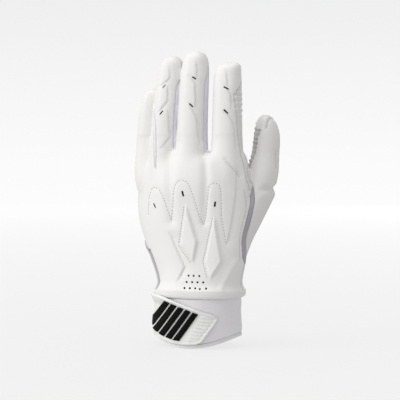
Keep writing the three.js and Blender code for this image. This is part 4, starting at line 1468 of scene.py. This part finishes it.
bm = raised(trimmed(draped(STRAP_STEP, SEAM, STRAP_SHEET_TOP), strap_field), strap_height)
finish(bm, "closure_strap", "strap_rubber", strap_rubber, ["strap"])

# %% Bars
BAR_SHEET_TOP = 46


def bar_field(index):
    """The field of one bar: a slanted stripe that stops short of the strap's rim."""
    right = BAR_FIRST - index * BAR_PITCH

    def field(co):
        if nearness(co) < STRAP_TURNS:
            return -5.0
        point = Vector((across_of(co), co.z))
        across = point.x - BAR_SLANT * (point.y - BAR_MIDDLE)
        sides = min(right - across, across - right + BAR_WIDTH) / math.hypot(1, BAR_SLANT)
        return min(sides, depth_in(point, front_outline) - STRAP_RIM - 2 * SEAM)

    return field


for index in range(BAR_COUNT):
    field = bar_field(index)
    bm = trimmed(draped(STRAP_STEP, SEAM * 2 + STRAP_THICK, BAR_SHEET_TOP), field)
    raised(bm, lambda co: BAR_RISE - BAR_EDGE * (1 - ease(max(field(co), 0) / BAR_SLOPE)))
    node = f"strap_bar_{index + 1}"
    finish(bm, f"slanted_bar_{index + 1}", "bar_rubber", bar_rubber, [node])

# %% [markdown]
# ## Studio
# The photograph has a plain pale ground and soft light that comes mostly from the left, so the thumb side
# falls to grey. A bowl of pale paper, spun from one profile, gives the ground, and its own faint glow gives
# the ground's tones. A strong soft light stands on the left, with weaker ones in front, above and behind.

# %% Paper ground
# How strongly the paper glows beside the glove and far off, over what distance, and how it fades upwards
GLOW_NEAR, GLOW_FAR, GLOW_REACH = 0.755, 0.89, 2.5
GLOW_FADE, FADE_FROM, FADE_TO = 0.1, 0.1, 1.1
GROUND_PROFILE = [(0, 0), (4.5, 0), (5.6, 0.2), (6.5, 0.8), (6.9, 1.8), (7.0, 3), (7.0, 9)]
GROUND_BELOW = 0.0005
paper = bpy.data.materials.new("studio_paper")
paper.use_nodes = True
tree = paper.node_tree
tree.nodes.clear()
place = add(tree, "ShaderNodeTexCoord").outputs["Object"]
reach = add(tree, "ShaderNodeVectorMath", {0: place}, operation="LENGTH").outputs["Value"]
spread = {"Value": reach, "From Max": GLOW_REACH, "To Min": GLOW_NEAR, "To Max": GLOW_FAR}
far = add(tree, "ShaderNodeMapRange", spread).outputs["Result"]
height = add(tree, "ShaderNodeSeparateXYZ", {"Vector": place}).outputs["Z"]
fade = {"Value": height, "From Min": FADE_FROM, "From Max": FADE_TO, "To Min": 0.0, "To Max": GLOW_FADE}
high = add(tree, "ShaderNodeMapRange", fade).outputs["Result"]
glow = add(tree, "ShaderNodeMath", {0: far, 1: high}, operation="SUBTRACT").outputs["Value"]
look = {
    "Base Color": linear("#5a5a5a"),
    "Roughness": 0.9,
    "Specular IOR Level": 0.1,
    "Emission Color": linear("#ffffff"),
    "Emission Strength": glow,
}
shader = add(tree, "ShaderNodeBsdfPrincipled", look)
add(tree, "ShaderNodeOutputMaterial", {"Surface": shader.outputs["BSDF"]})
bm = bmesh.new()
line = [bm.verts.new((out, 0, up - GROUND_BELOW)) for out, up in GROUND_PROFILE]
edges = [bm.edges.new(pair) for pair in zip(line, line[1:])]
bmesh.ops.spin(
    bm,
    geom=line + edges,
    cent=(0, 0, 0),
    axis=(0, 0, 1),
    angle=2 * math.pi,
    steps=64,
    use_merge=True,
)
bmesh.ops.remove_doubles(bm, verts=bm.verts, dist=1e-5)
bmesh.ops.recalc_face_normals(bm, faces=bm.faces)
backdrop = link(bm, "studio_floor")
backdrop.data.materials.append(paper)
for face in backdrop.data.polygons:
    face.use_smooth = True
backdrop.visible_diffuse = False
backdrop.visible_glossy = False
print("paper ground has", len(backdrop.data.polygons), "faces")

# %% Lights
# Place and size in metres, and power in watts
LIGHTS = {
    "key": ((-2.1, -1.6, 0.9), 1.6, 29),
    "front": ((-0.4, -2.6, 0.5), 1.4, 5.5),
    "top": ((-0.3, -0.2, 2.4), 1.2, 17),
    "back": ((0.2, 2.8, 0.8), 1.4, 6),
}
LIGHTS_AIM = Vector((0, 0, 0.12))
WORLD_LIGHT = 0.6
for name, (place, size, power) in LIGHTS.items():
    data = bpy.data.lights.new(name, "AREA")
    data.size = size
    data.energy = power
    lamp = bpy.data.objects.new(name, data)
    lamp.location = place
    lamp.rotation_mode = "QUATERNION"
    lamp.rotation_quaternion = (LIGHTS_AIM - Vector(place)).to_track_quat("-Z", "Y")
    bpy.context.collection.objects.link(lamp)
world = bpy.data.worlds.new("studio")
world.use_nodes = True
world.node_tree.nodes["Background"].inputs["Color"].default_value = linear("#ffffff")
world.node_tree.nodes["Background"].inputs["Strength"].default_value = WORLD_LIGHT
bpy.context.scene.world = world
bpy.context.scene.view_settings.view_transform = "Standard"
print("lights:", list(LIGHTS))
